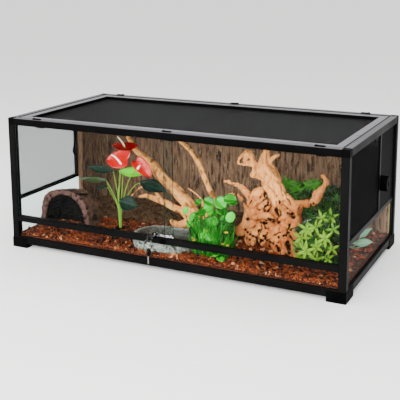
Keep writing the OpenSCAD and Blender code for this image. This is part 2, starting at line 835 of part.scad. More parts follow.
// Half log hide, lower at its far end, with ridged bark outside and a closed back
hide_back = 20;
hide_ridge = 8;
module hide() {
    inner = hide_l - hide_back;
    color("#6b4f47") translate([hide_x, hide_y, z_bed]) mirror([0, 1, 0]) rotate([90, 0, 0])
        difference() {
            linear_extrude(hide_l, scale = hide_taper) intersection() {
                union() {
                    polygon(arch(hide_w - 6, hide_h - 6));
                    for (p = arch(hide_w - 2 * hide_ridge, hide_h - 2 * hide_ridge)) if (p[1] > 0)
                        translate([p[0], p[1] + hide_ridge]) circle(r = hide_ridge, $fn = 12);
                }
                translate([-hide_w / 2, 0]) square([hide_w, hide_h]);
            }
            translate([0, 0, -cut]) linear_extrude(inner + cut, scale = hide_share(inner)) union() {
                polygon(arch(hide_w - 2 * hide_wall, hide_h - hide_wall));
                translate([hide_wall - hide_w / 2, -cut]) square([hide_w - 2 * hide_wall, 2 * cut]);
            }
        }
}

// Stone-look water dish with sloping sides
module dish_form(l, w, h, slope) {
    hull() for (i = [-1, 0, 1]) translate([i * (l - w) / 2, 0, 0])
        cylinder(d1 = w - 2 * slope, d2 = w, h = h, $fn = 32);
}

module water_dish() {
    color("#8d8a86") translate([-dish_left, front_y + dish_in_y, z_bed]) difference() {
        dish_form(dish_l, dish_w, dish_h, 10);
        translate([0, 0, dish_h - dish_deep])
            dish_form(dish_l - 2 * dish_rim, dish_w - 2 * dish_rim, dish_deep + 0.01, 12);
    }
}

// One length of wood or stem between two points, thick at the ends given
module limb(a, b, ra, rb, n = 8) {
    hull() {
        translate(a) sphere(r = ra, $fn = n);
        translate(b) sphere(r = rb, $fn = n);
    }
}

// A run of limbs through points given as [x, y, z, radius]
module run_limbs(pts, n = 8) {
    for (i = [0:len(pts) - 2]) {
        a = pts[i];
        b = pts[i + 1];
        limb([a[0], a[1], a[2]], [b[0], b[1], b[2]], a[3], b[3], n);
    }
}

// A pointed leaf of length l and width w, lying along +X from the origin
module leaf(l, w) {
    n = 6;
    linear_extrude(leaf_t, center = true) polygon([for (i = [0:2 * n - 1])
        let (t = i <= n ? i / n : 2 - i / n, side = i <= n ? 1 : -1)
        [l * t, side * (0.6 + w / 2 * pow(sin(180 * pow(t, 0.8)), 0.9))]]);
}

// A leaf set at a point, turned about Z and then lifted
module leaf_at(p, turn, lift, roll, l, w) {
    translate(p) rotate([0, -lift, turn]) rotate([roll, 0, 0]) leaf(l, w);
}

module flower_base() {
    color("#151515") translate([flower_x, flower_y, z_bed]) {
        cylinder(d = base_d, h = 5);
        cylinder(d = base_d - 8, h = 12);
    }
}

// Flowering plant: stems from the base, each with a leaf or a heart-shaped flower and its spike
// Each row is the stem's top, measured from the base, then turn, lift, roll, length and width of the blade
flower_rows = [
    [[20, -12, 266], 186, -3, 50, 84, 70],
    [[32, 4, 304], 178, 8, 12, 84, 58],
    [[76, -14, 256], -6, -36, 50, 76, 48]];
leaf_rows = [
    [[-2, -8, 219], 2, 2, 34, 104, 44],
    [[-30, 6, 213], 184, 6, 36, 100, 36],
    [[-62, -2, 178], 186, 0, 30, 94, 30],
    [[80, 8, 184], -4, -10, 40, 92, 44],
    [[2, -14, 111], -12, -8, 50, 74, 44]];
module flowering_plant() {
    foot = [0, 0, 13];
    color("#3f6b2c") translate([flower_x, flower_y, z_bed]) {
        translate([0, 0, 12]) cylinder(d = 12, h = 8);
        for (r = concat(flower_rows, leaf_rows)) {
            knee = [r[0][0] * 0.35, r[0][1] * 0.35, r[0][2] * 0.55];
            limb(foot + [0, 0, 5], knee, 2.2, 2, 6);
            limb(knee, r[0], 2, 1.6, 6);
        }
        for (r = leaf_rows) leaf_at(r[0], r[1], r[2], r[3], r[4], r[5]);
    }
    color("#c8262c") translate([flower_x, flower_y, z_bed]) for (r = flower_rows)
        translate(r[0]) rotate([0, -r[2], r[1]]) rotate([r[3], 0, 0])
            translate([-r[4] * 0.25, 0, 0]) leaf(r[4], r[5]);
    color("#e9b8a0") translate([flower_x, flower_y, z_bed]) for (r = flower_rows)
        limb(r[0], r[0] + [-4, -10, 26], 3.4, 2.4, 6);
}

// Branching wood on the left, through points measured from its foot
branch_runs = [
    [[0, 0, 24, 22], [-18, 4, 68, 14], [-115, 8, 144, 11], [-146, 10, 188, 9], [-180, 14, 228, 8],
        [-250, 20, 288, 7], [-284, 24, 318, 4]],
    [[0, 0, 24, 20], [-36, -14, 46, 11], [-118, -20, 88, 8], [-225, -24, 98, 4]],
    [[-118, -20, 88, 8], [-138, -22, 119, 6], [-220, -30, 136, 3.5]],
    [[20, 6, 20, 20], [56, 22, 60, 9], [69, 24, 140, 6], [22, 26, 224, 5.5], [-17, 28, 284, 5],
        [-57, 32, 324, 3]],
    [[-52, 10, 16, 15], [0, 0, 20, 24], [52, 4, 18, 17]]];
module branch_wood() {
    color("#c58a5c") translate([-branch_left, mid_y, z_bed]) difference() {
        union() for (r = branch_runs) run_limbs(r);
        block([-400, -200, -100], [400, 200, 0]);
    }
}

// Large stump on the right, through points measured from its foot
stump_runs = [
    [[-12, 0, 333, 11.5], [-18, -2, 301, 15.5], [-16, -3, 280, 20], [1, -4, 249, 28], [20, -6, 212, 28],
        [33, -8, 182, 28], [64, -12, 136, 38], [72, -14, 73, 38], [91, -22, 15, 29]],
    [[-19, -6, 278, 16], [-48, -12, 253, 11.5], [-25, -8, 243, 11.5]],
    [[-45, -8, 272, 12], [-57, -8, 293, 8], [-74, -8, 318, 11], [-98, -10, 304, 6], [-107, -12, 285, 5],
        [-77, -14, 280, 4.5], [-47, -8, 277, 9]],
    [[-8, -2, 285, 10], [10, 0, 308, 5], [33, 0, 322, 4]],
    [[-13, -20, 192, 16], [-38, -24, 172, 20], [-50, -26, 129, 23], [-54, -28, 99, 23.5],
        [-85, -32, 56, 17.5], [-102, -32, 51, 9.5]],
    [[-43, -24, 151, 16.5], [-78, -18, 185, 8.5], [-105, -16, 205, 7], [-132, -16, 209, 4.5],
        [-158, -16, 214, 3.5]],
    [[-1, 6, 140, 25], [-2, 4, 105, 42], [2, 2, 67, 47], [16, 0, 34, 42], [32, -4, 7, 29.5]],
    [[19, 40, 49, 38], [9, 44, 11, 34]],
    [[-2, -46, 89, 17.5], [-40, -52, 54, 16.5], [-41, -46, 21, 10.5]],
    [[39, -50, 92, 16.5], [52, -56, 65, 17], [60, -62, 19, 14], [77, -64, 5, 10.5]],
    [[74, -50, 84, 19], [100, -62, 29, 16.5], [129, -70, 2, 8]],
    [[99, -24, 126, 19], [109, -26, 69, 17], [116, -32, 9, 13]],
    [[77, -12, 150, 24.5], [111, -4, 162, 11], [149, 0, 173, 9], [167, 0, 200, 14], [187, 0, 228, 8],
        [193, 0, 256, 6.5], [179, 0, 265, 5.5]]];
module stump_wood() {
    color("#c88c63") translate([stump_x, stump_y, z_bed]) difference() {
        union() for (r = stump_runs) run_limbs(r);
        block([-400, -300, -200], [400, 300, 0]);
    }
}

// Leafy plant in the middle: a tuft with round leaves on top
module leafy_plant() {
    leaves = 20;
    color("#4f8f2e") translate([leafy_x, front_y + leafy_in_y, z_bed]) {
        cylinder(r1 = 26, r2 = 34, h = 14, $fn = 16);
        for (i = [0:leaves - 1]) {
            a = i * 137.5;
            rad = 12 + 3 * (i % 5);
            up = 60 + 18 * (i % 5);
            top = [rad * 1.7 * cos(a), min(32, max(-32, rad * sin(a))), up];
            limb([rad * 0.5 * cos(a), rad * 0.5 * sin(a), 10], top, 2, 1.5, 6);
            leaf_at(top, a, 15, 0, 34, 28);
        }
    }
}

// Fern behind the stump: arching fronds from one crown
module fern_plant() {
    fronds = 14;
    color("#2f5a2a") translate([star_x - fern_x, mid_y + fern_back, z_bed]) {
        cylinder(r1 = 16, r2 = 12, h = 110, $fn = 16);
        for (i = [0:fronds - 1]) {
            a = i * 360 / fronds + 10;
            l = 66 + 8 * (i % 3);
            start = [10 * cos(a), 10 * sin(a), 90 + 6 * (i % 4)];
            leaf_at(start, a, 50, 0, l, 20);
            leaf_at([0, 0, 100] + [7 * cos(a), 7 * sin(a), 0], a + 12, 72, 0, l + 34, 20);
        }
    }
}

// A leaf with pointed lobes round its middle
module star_leaf(r, lobes = 7) {
    linear_extrude(leaf_t, center = true)
        polygon([for (i = [0:2 * lobes - 1]) let (a = i * 180 / lobes, d = i % 2 == 0 ? r : r * 0.3)
            [d * cos(a), d * sin(a)]]);
}

// Star-leaved plants in the right front corner
star_spots = [[-6, -22, 128], [52, -22, 108], [-4, -32, 62], [40, 10, 160], [66, 8, 168], [72, -8, 136],
    [30, -26, 40]];
star_tilt = 62;
module star_plant() {
    color("#4e9a34") translate([star_x, star_y, z_bed]) {
        cylinder(r1 = 24, r2 = 18, h = 12, $fn = 16);
        for (p = star_spots) {
            limb([0, 0, 8], p, 2.4, 1.8, 6);
            translate(p) rotate([star_tilt, p[0] / 4, 0]) rotate([0, 0, p[0]]) star_leaf(38);
        }
    }
}

feet();
corner_post(-1, -1);  // post_front_left
corner_post(1, -1);  // post_front_right
corner_post(-1, 1);  // post_rear_left
corner_post(1, 1);  // post_rear_right
bottom_rail(-1);  // bottom_rail_front
bottom_rail(1);  // bottom_rail_rear
bottom_rails_side();
top_rail(-1);  // top_rail_front
top_rail(1);  // top_rail_rear
top_rails_side();
top_corners();
door_rail();
side_bars();
side_dividers();
rear_mullion();
front_glass();
side_glass();
side_screens();
side_panels();
rear_glass();
floor_pan();
lid_bar_front_rear(-1);  // lid_bar_front
lid_bar_front_rear(1);  // lid_bar_rear
lid_bars_side();
lid_centre_bar();
lid_screen();
turn_button(-button_x, -1);  // button_front_left
turn_button(0, -1);  // button_front_centre
turn_button(button_x, -1);  // button_front_right
turn_button(-button_x, 1);  // button_rear_left
turn_button(0, 1);  // button_rear_centre
turn_button(button_x, 1);  // button_rear_right
button_pins();
lid_guides();
door_left();
door_right();
door_stop();
lock_bar();
lock_barrel();
lock_plug();
key();
key_ring();
spare_key();
port_rings();
port_cap(-1);  // port_cap_left
port_cap(1);  // port_cap_right
thumb_screws();
background();
bedding();
bark_chips();
hide();
water_dish();
flower_base();
flowering_plant();
branch_wood();
stump_wood();
leafy_plant();
fern_plant();
star_plant();
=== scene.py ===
"""Reptile terrarium with sliding glass doors, a screen lid and its furnishing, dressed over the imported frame.

Everything is in metres, in the frame of the solids: X to the right, Y to the back, Z up from the table.
"""

import bpy
import bmesh
import math
import random
import numpy as np
from mathutils import Euler, Matrix, Vector, noise


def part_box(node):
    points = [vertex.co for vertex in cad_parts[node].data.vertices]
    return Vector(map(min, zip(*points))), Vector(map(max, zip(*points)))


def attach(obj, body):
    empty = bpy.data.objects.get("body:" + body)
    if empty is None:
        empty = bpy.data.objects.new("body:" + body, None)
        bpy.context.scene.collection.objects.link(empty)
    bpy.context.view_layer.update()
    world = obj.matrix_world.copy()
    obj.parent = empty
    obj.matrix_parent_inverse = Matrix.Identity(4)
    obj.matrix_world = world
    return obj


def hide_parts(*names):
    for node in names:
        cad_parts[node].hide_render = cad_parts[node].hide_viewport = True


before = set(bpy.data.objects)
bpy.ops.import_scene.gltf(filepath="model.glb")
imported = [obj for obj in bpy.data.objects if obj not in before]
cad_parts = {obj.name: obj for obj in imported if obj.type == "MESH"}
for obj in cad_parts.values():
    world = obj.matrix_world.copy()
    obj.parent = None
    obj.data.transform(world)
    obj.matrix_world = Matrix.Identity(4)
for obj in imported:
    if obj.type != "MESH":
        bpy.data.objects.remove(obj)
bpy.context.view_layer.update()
noise.seed_set(5)  # noise_vector is shifted by the clock without it

# Places that the furnishing shares with the solids
MID_Y = 0.01626
BED = 0.046
HIDE = Vector((-0.4685, -0.16974, BED))
DISH = Vector((-0.052, -0.17374, BED))
FLOWER = Vector((-0.2805, -0.09374, BED))
BRANCH = Vector((-0.040, MID_Y, BED))
STUMP = Vector((0.2655, -0.02874, BED))
LEAFY = Vector((0.122, -0.19574, BED))
FERN = Vector((0.3955, 0.11126, BED))
STAR = Vector((0.4535, -0.15274, BED))


# ---------------------------------------------------------------- materials


def linear(hexa):
    """An sRGB hex colour as linear red, green, blue and alpha."""
    parts = [int(hexa[i:i + 2], 16) / 255 for i in (1, 3, 5)]
    return [c / 12.92 if c <= 0.04045 else ((c + 0.055) / 1.055) ** 2.4 for c in parts] + [1.0]


class Look:
    """A material in the making: its shader, with short words for the nodes that feed it."""

    def __init__(self, name, **fixed):
        self.material = bpy.data.materials.new(name)
        self.material.use_nodes = True
        self.tree = self.material.node_tree
        self.tree.nodes.clear()
        self.place = self.add("TexCoord").outputs["Object"]
        self.shader = self.add("BsdfPrincipled", {k.replace("_", " "): v for k, v in fixed.items()})
        self.output = self.add("OutputMaterial", {"Surface": self.shader.outputs[0]})

    def add(self, kind, sockets=None, **settings):
        """One node, with its settings, and its sockets set or linked."""
        made = self.tree.nodes.new("ShaderNode" + kind)
        for name, value in settings.items():
            setattr(made, name, value)
        for name, value in (sockets or {}).items():
            if isinstance(value, bpy.types.NodeSocket):
                self.tree.links.new(value, made.inputs[name])
            else:
                made.inputs[name].default_value = value
        return made

    def feed(self, socket, value):
        """Link a value to a socket of the shader."""
        self.tree.links.new(value, self.shader.inputs[socket])

    def sum(self, operation, *values):
        """The result of a sum on sockets and numbers."""
        return self.add("Math", dict(enumerate(values)), operation=operation).outputs[0]

    def axis(self, number):
        """How far the point lies along X, Y or Z."""
        return self.add("SeparateXYZ", {"Vector": self.place}).outputs[number]

    def facing(self, number):
        """How far the face looks along X, Y or Z, from -1 to 1."""
        return self.add("SeparateXYZ", {"Vector": self.add("TexCoord").outputs["Normal"]}).outputs[number]

    def attribute(self, name):
        """A number that the piece's mesh carries at each point."""
        return self.add("Attribute", attribute_name=name).outputs["Fac"]

    def speckle(self, scale, detail, rough=0.6, stretch=(1, 1, 1)):
        """Noise at a scale in lumps per metre, pulled out along an axis where stretch is below 1."""
        spread = self.add("Mapping", {"Vector": self.place, "Scale": stretch}).outputs[0]
        return self.add("TexNoise", {"Vector": spread, "Scale": scale, "Detail": detail,
                                     "Roughness": rough}).outputs["Fac"]

    def band(self, value, low, high, out_low=0.0, out_high=1.0):
        """A value's range from low to high, turned into another range."""
        return self.add("MapRange", {"Value": value, "From Min": low, "From Max": high,
                                     "To Min": out_low, "To Max": out_high}).outputs["Result"]

    def mix(self, share, first, second):
        """A colour between two hex colours or sockets, by a share from 0 to 1."""
        ends = [linear(c) if isinstance(c, str) else c for c in (first, second)]
        return self.add("Mix", {0: share, 6: ends[0], 7: ends[1]}, data_type="RGBA").outputs[2]

    def blend(self, value, low, high, first, second, most=1.0):
        """A colour that goes from the first towards the second while a value goes from low to high."""
        return self.mix(self.band(value, low, high, 0, most), first, second)

    def colour(self, *blend):
        """Colour the shader by a blend."""
        self.feed("Base Color", self.blend(*blend))

    def rough(self, value, low, high, smooth, dull):
        """Roughness between two values while another value goes from low to high."""
        self.feed("Roughness", self.band(value, low, high, smooth, dull))

    def relief(self, height, depth, strength):
        """Bump, with its depth in metres."""
        self.feed("Normal", self.add("Bump", {"Height": height, "Distance": depth, "Strength": strength}).outputs[0])

    def over(self, share, first, second):
        """One shader over another, by a share."""
        return self.add("MixShader", {0: share, 1: first.outputs[0], 2: second.outputs[0]})

    def show(self, shader):
        """Show another shader in place of the plain one."""
        self.tree.links.new(shader.outputs[0], self.output.inputs["Surface"])


LID_LOW, LID_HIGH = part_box("lid_bar_front")[0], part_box("lid_bar_rear")[1]


def lid_seam(look):
    """One along the narrow gap between the lid and the rails round it, nothing elsewhere."""
    over = []
    for axis in (0, 1):
        middle, half = (LID_LOW[axis] + LID_HIGH[axis]) / 2, (LID_HIGH[axis] - LID_LOW[axis]) / 2
        off = look.sum("ABSOLUTE", look.sum("SUBTRACT", look.axis(axis), middle))
        over.append(look.sum("SUBTRACT", off, half))
    edge = look.sum("ABSOLUTE", look.sum("MAXIMUM", *over))
    return look.band(edge, 0.002, 0.006, 1, 0)


def powder_coat(name, deep, worn, painted_top_reflection, rough=(0.3, 0.45)):
    """Polyester powder on aluminium: a fine orange-peel skin, a soft sheen, and painted reflection on upper faces."""
    look = Look(name, IOR=1.07)
    peel = look.speckle(520, 3)  # 2 mm lumps, drawn coarser than the real half millimetre
    cloud = look.speckle(9, 5)
    black = look.blend(cloud, 0.35, 0.75, deep, worn)
    # Painted reflection: faces that look up turn towards the reflection colour, less along the lid's seam.
    lying = look.sum("SUBTRACT", look.band(look.facing(2), 0.6, 0.9), lid_seam(look))
    lying = look.sum("MULTIPLY", lying, look.band(cloud, 0.2, 0.6, 0.55, 1))
    look.feed("Base Color", look.mix(lying, black, painted_top_reflection))
    look.rough(cloud, 0.3, 0.7, *rough)
    look.relief(peel, 0.00012, 0.5)
    return look.material


def moulded_black(name):
    """Injection-moulded ABS: matt, with a spark-eroded grain of about half a millimetre."""
    look = Look(name, IOR=1.05)
    grain = look.speckle(900, 2)
    look.colour(look.speckle(18, 4), 0.3, 0.75, "#020202", "#060606")
    look.rough(grain, 0.3, 0.7, 0.42, 0.62)
    look.relief(grain, 0.0002, 0.6)
    return look.material


def float_glass(name, axis):
    """Float glass: nearly all clear through its faces, with a thin reflection, and bottle green at its cut edges."""
    look = Look(name, Roughness=0.25, IOR=1.5, Base_Color=linear("#16241f"))
    flat = look.sum("GREATER_THAN", look.sum("ABSOLUTE", look.facing(axis)), 0.5)
    film = look.add("BsdfTransparent", {"Color": linear("#f6fbf9")})
    wipe = look.band(look.speckle(7, 3), 0.4, 0.8, 0.01, 0.06)
    shine = look.add("BsdfGlossy", {"Color": (1, 1, 1, 1), "Roughness": wipe})
    slant = look.sum("POWER", look.add("LayerWeight", {"Blend": 0.5}).outputs["Facing"], 5.0)
    pane = look.over(look.band(slant, 0, 1, 0.002, 0.05), film, shine)
    look.show(look.over(flat, look.shader, pane))
    return look.material


def woven_screen(name, across, up, open_share, right_share=None, sheen=0.01):
    """Black-coated wire mesh. The real pitch is 1.5 mm; it is drawn at 3 mm so that it shows.

    The photo shows the left side's screen light and the right side's nearly closed, so each may have its share; the
    right one's closed wire is painted shade."""
    look = Look(name, Roughness=0.7, Specular_IOR_Level=sheen)
    pitch = 2 * math.pi / 0.003
    waves = [look.sum("COSINE", look.sum("MULTIPLY", look.axis(a), pitch)) for a in (across, up)]
    top = look.sum("MAXIMUM", *waves)
    gap = look.band(top, 0.55, 0.95, open_share, 0)
    if right_share is not None:
        right = look.sum("GREATER_THAN", look.axis(0), 0.0)
        gap = look.sum("MULTIPLY", gap, look.band(right, 0, 1, 1, right_share / open_share))
    look.colour(look.speckle(12, 4), 0.3, 0.7, "#020203", "#060607")
    look.relief(top, 0.0004, 0.6)
    look.show(look.over(gap, look.shader, look.add("BsdfTransparent")))
    return look.material


def bright_metal(name, colour, rough=(0.06, 0.2), scratch=(1, 1, 1), dull="#3c3c40"):
    """Plated or polished metal, with hairlines from handling and duller patches."""
    look = Look(name, Metallic=1.0)
    lines = look.speckle(700, 3, 0.7, scratch)
    look.colour(look.speckle(190, 2), 0.44, 0.56, dull, colour)
    look.rough(lines, 0.3, 0.75, *rough)
    look.relief(lines, 0.00004, 0.3)
    return look.material


def key_finish(name, axis, split, test):
    """A key: black ABS head, and a nickel-plated steel blade past a split along one axis."""
    look = Look(name, IOR=1.3, Roughness=0.4)
    grain = look.speckle(900, 2)
    look.colour(grain, 0.3, 0.75, "#020202", "#080808")
    blade_metal = look.add("BsdfPrincipled", {"Base Color": linear("#b9b5aa"), "Metallic": 1.0,
                                              "Roughness": look.band(grain, 0.3, 0.7, 0.15, 0.35)})
    look.show(look.over(look.sum(test, look.axis(axis), split), look.shader, blade_metal))
    return look.material


def dry_wood(name, pale, mid, stain_and_shade, dark, grain, fresh, hollow_shade, painted_shade_x=(1.0, 1.1)):
    """Barked and sand-blasted driftwood: paler upward between two heights, with painted shade to the right of two
    places, long grain, and painted shade in its hollows."""
    look = Look(name, IOR=1.4, Specular_IOR_Level=0.12)
    streak = look.speckle(1.0, 6, 0.65, grain)
    high = look.sum("SUBTRACT", look.band(look.axis(2), *fresh, 0, 0.3), look.speckle(22, 5))
    flesh = look.blend(high, -0.62, -0.28, mid, pale)
    # Painted shade: darker to the right of two places along X.
    flesh = look.blend(look.axis(0), *painted_shade_x, flesh, stain_and_shade, 0.55)
    lined = look.blend(streak, 0.48, 0.66, flesh, stain_and_shade, 0.75)
    # Painted shade in the hollows.
    look.colour(look.attribute("hollow"), *hollow_shade, lined, dark)
    look.rough(streak, 0.3, 0.7, 0.6, 0.85)
    look.relief(streak, 0.0012, 0.7)
    return look.material


def leaf_skin(name, lit, shade, vein, rough, sheen):
    """A living leaf: waxy above, paler along its veins, and a little light comes through it."""
    look = Look(name, Roughness=rough, IOR=1.45, Specular_IOR_Level=sheen,
                Subsurface_Weight=0.12, Subsurface_Radius=(0.003, 0.005, 0.001))
    # A leaf's tone picks its colour between the shade and the lit colour; where tones are set per leaf, they are
    # painted light and shade.
    body = look.blend(look.sum("ADD", look.speckle(45, 3), look.attribute("tone")), 0.5, 1.5, shade, lit)
    look.colour(look.attribute("vein"), 0.75, 1.0, body, vein, 0.75)
    look.relief(look.attribute("vein"), 0.0008, 0.6)
    return look.material


# The last colour of each powder coat is its painted top reflection, pale on the top rails and the lid.
BLACK_FRAME = powder_coat("black powder coat", "#070707", "#0b0b0b", "#111111")
TOP_FRAME = powder_coat("black powder coat of the top rails", "#020202", "#040404", "#565457")
BLACK_PLASTIC = moulded_black("black ABS")
LID_BLACK = powder_coat("black powder coat of the lid", "#040404", "#080808", "#6c6a6d", (0.25, 0.4))
GLASS_FRONT = float_glass("float glass facing the front", 1)
GLASS_SIDE = float_glass("float glass facing the sides", 0)
SCREEN_LID = woven_screen("black screen of the lid", 0, 1, 0.10, sheen=0.06)
# The right side's screen is nearly closed: painted shade of the dark inside behind it.
SCREEN_SIDE = woven_screen("black screen of the sides", 1, 2, 0.97, 0.12)
CHROME = bright_metal("bright chrome", "#d9dadc")
NICKEL = bright_metal("nickel-plated ring wire", "#77756f", (0.2, 0.4), dull="#2c2b2a")
ZINC = bright_metal("zinc thumb screw", "#8f8f92", (0.35, 0.55), (0.2, 0.2, 3))


def give(material, *nodes):
    """Finish the solids of these names with a material."""
    for name in nodes:
        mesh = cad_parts[name].data
        mesh.materials.clear()
        mesh.materials.append(material)


give(BLACK_FRAME, "post_front_left", "post_front_right", "post_rear_left", "post_rear_right", "bottom_rail_front",
     "bottom_rail_rear", "bottom_rails_side", "door_rail", "side_bars", "side_dividers", "rear_mullion",
     "lid_centre_bar", "button_pins")
give(TOP_FRAME, "top_rail_front", "top_rail_rear", "top_rails_side")
give(LID_BLACK, "lid_bar_front", "lid_bar_rear", "lid_bars_side")
give(BLACK_PLASTIC, "feet", "top_corners", "side_panels", "floor_pan", "lid_guides", "door_stop", "port_rings",
     "port_cap_left", "port_cap_right", "flower_base",
     *[f"button_{side}_{place}" for side in ("front", "rear") for place in ("left", "centre", "right")])
give(GLASS_FRONT, "front_glass", "rear_glass", "door_left", "door_right")
give(GLASS_SIDE, "side_glass")
give(SCREEN_LID, "lid_screen")
give(SCREEN_SIDE, "side_screens")
give(CHROME, "lock_bar", "lock_barrel", "lock_plug")
give(NICKEL, "key_ring")
give(ZINC, "thumb_screws")
give(key_finish("key in the lock", 1, -0.3057, "GREATER_THAN"), "key")
give(key_finish("spare key", 2, 0.0629, "LESS_THAN"), "spare_key")


# ---------------------------------------------------------------- making pieces


def meshed(name, bm):
    """A mesh from a bmesh, which is used up."""
    mesh = bpy.data.meshes.new(name)
    bm.to_mesh(mesh)
    bm.free()
    return mesh


def placed(name, data):
    """An object of a mesh, light or camera, put into the scene."""
    obj = bpy.data.objects.new(name, data)
    bpy.context.scene.collection.objects.link(obj)
    return obj


def piece(name, bm, materials, hides=(), smooth=True):
    """A finished piece from a bmesh: at the origin, riding on the tank, in place of the solids that it stands for."""
    mesh = meshed(name, bm)
    for m in materials:
        mesh.materials.append(m)
    mesh.polygons.foreach_set("use_smooth", [smooth] * len(mesh.polygons))
    obj = placed(name, mesh)
    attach(obj, "tank")
    if hides:
        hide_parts(*hides)
    return obj


def mm(*numbers):
    """Millimetres as a vector in metres."""
    return Vector(numbers) / 1000


def skin(across, along, place, closed=False):
    """A grid bent into shape: place turns its two shares, from 0 to 1, into a point."""
    bm = bmesh.new()
    bmesh.ops.create_grid(bm, x_segments=across, y_segments=along, size=0.5)
    for v in bm.verts:
        v.co = place(v.co.x + 0.5, v.co.y + 0.5)
    if closed:
        bmesh.ops.remove_doubles(bm, verts=bm.verts, dist=1e-6)
        bmesh.ops.recalc_face_normals(bm, faces=bm.faces)
    return bm


def thickened(bm):
    """Extrude all faces of a sheet, and give the points that are to be moved off it."""
    grown = bmesh.ops.extrude_face_region(bm, geom=bm.faces[:])["geom"]
    return [g for g in grown if isinstance(g, bmesh.types.BMVert)]


def pour(bm, into):
    """Add one bmesh to another and drop it."""
    mesh = meshed("pour", bm)
    into.from_mesh(mesh)
    bpy.data.meshes.remove(mesh)


def template(bm, thick=0.0):
    """A small shape to be stamped many times, made solid if thick is given, with a tone at each point."""
    if thick:
        bmesh.ops.solidify(bm, geom=bm.faces[:], thickness=thick)
    mesh = meshed("template", bm)
    for name in ("tone", "vein"):
        if name not in mesh.attributes:
            mesh.attributes.new(name, "FLOAT", "POINT")
    return mesh


def stamp(mesh, matrix, tone, into, slot=0):
    """One copy of a template, placed by a matrix, with its own tone."""
    copy = mesh.copy()
    copy.transform(matrix)
    copy.attributes["tone"].data.foreach_set("value", [tone] * len(copy.vertices))
    if slot:
        copy.polygons.foreach_set("material_index", [slot] * len(copy.polygons))
    into.from_mesh(copy)
    bpy.data.meshes.remove(copy)


def turned(at, yaw=0.0, lift=0.0, roll=0.0, size=(1, 1, 1)):
    """Placing matrix of a shape that lies along +X: rolled, lifted, turned, in degrees, and moved to a point."""
    turn = Euler([math.radians(a) for a in (roll, -lift, yaw)], "XYZ").to_matrix().to_4x4()
    return Matrix.Translation(at) @ turn @ Matrix.Diagonal((*size, 1))


def smooth_path(points, steps):
    """Points of a run with radii, eased through the given [x, y, z, radius] rows."""
    rows = [np.array(p, float) for p in points]
    rows = [2 * rows[0] - rows[1]] + rows + [2 * rows[-1] - rows[-2]]
    out = []
    for a, b, c, d in zip(rows, rows[1:], rows[2:], rows[3:]):
        for i in range(steps):
            t = i / steps
            bow, turn = 2 * a - 5 * b + 4 * c - d, 3 * b - a - 3 * c + d
            out.append(0.5 * (2 * b + (c - a) * t + bow * t * t + turn * t ** 3))
    return out + [rows[-2]]


def limb(points, around, steps, flute=0.0, twist=0.0, seed=0.0):
    """A round limb along a run, with long flutes that turn round it, closed at both ends."""
    path = smooth_path(points, steps)
    place = [Vector(p[:3]) for p in path]
    radius = [max(0.0006, p[3]) for p in path]
    run = [0.0]
    for a, b in zip(place, place[1:]):
        run.append(run[-1] + (b - a).length)
    ways = [(place[min(i + 1, len(place) - 1)] - place[max(i - 1, 0)]).normalized() for i in range(len(place))]
    side = ways[0].orthogonal().normalized()
    sides = []
    for way in ways:
        side = (side - way * side.dot(way)).normalized()
        sides.append(side)
    last = len(place) - 1

    def at(u, w):
        i = min(last, max(0, round(w * (last + 2)) - 1))
        cap = 0.0 if round(w * (last + 2)) in (0, last + 2) else 1.0
        a = 2 * math.pi * u
        turn = a + twist * run[i]
        swell = 1 + flute * noise.noise(Vector((1.7 * math.cos(turn), 1.7 * math.sin(turn), 9 * run[i] + seed)))
        out = sides[i] * math.cos(a) + ways[i].cross(sides[i]) * math.sin(a)
        bulge = ways[i] * (radius[i] * (0.5 if cap == 0 else 0) * (1 if w > 0.5 else -1))
        return place[i] + out * (radius[i] * swell * cap) + bulge

    return skin(around, last + 2, at, closed=True)


def fused(bm, voxel):
    """Overlapping closed shapes melted into one skin, and eased."""
    mesh = meshed("melt", bm)
    obj = placed("melt", mesh)
    melt = obj.modifiers.new("melt", "REMESH")
    melt.mode = "VOXEL"
    melt.voxel_size = voxel
    bpy.context.view_layer.update()
    whole = bpy.data.meshes.new_from_object(obj.evaluated_get(bpy.context.evaluated_depsgraph_get()))
    out = bmesh.new()
    out.from_mesh(whole)
    bpy.data.objects.remove(obj)
    bpy.data.meshes.remove(mesh)
    bpy.data.meshes.remove(whole)
    for _ in range(2):
        bmesh.ops.smooth_vert(out, verts=out.verts, factor=0.5, use_axis_x=True, use_axis_y=True, use_axis_z=True)
    return out


def ridges(p, size, octaves=3):
    """Ridged noise from about 0 to 1 with lumps of a size in metres: high on the ridges, low in the furrows."""
    total, weight, scale, share = 0.0, 1.0, 1.0 / size, 0.0
    for _ in range(octaves):
        total += weight * (1 - abs(noise.noise(p * scale)) * 2)
        share += weight
        weight *= 0.5
        scale *= 2.1
    return total / share


def carved(bm, size, depth, warp=0.0, stretch=(1, 1, 1), floor=None, calm=9.0, lobed=False):
    """Furrow a skin along its normals, less so above a height, and store how deep each point lies as hollow.

    Ridges stand out with soft valleys between them; lobed turns that into round lobes with thin creases."""
    hollow = bm.verts.layers.float.new("hollow")
    bm.normal_update()
    moves = []
    for v in bm.verts:
        p = v.co + warp * noise.noise_vector(v.co * 26)
        high = ridges(Vector(c * s for c, s in zip(p, stretch)), size, 2 if lobed else 3)
        force = 1 - 0.65 * min(1, max(0, (v.co.z - calm) / 0.06))
        if lobed:
            high = max(0, 1 - high)
            low = min(1, max(0, 1.7 - 5.8 * high))
            moves.append((v, v.normal * (depth * force * (math.sqrt(min(1, high / 0.5)) - 0.72)), force * low))
        else:
            moves.append((v, v.normal * (depth * force * (high - 0.55)), force * min(1, max(0, 1.15 - 1.25 * high))))
    for v, move, low in moves:
        v.co += move
        v[hollow] = low
        if floor is not None:
            v.co.z = max(v.co.z, floor)
    return bm


# ---------------------------------------------------------------- catches

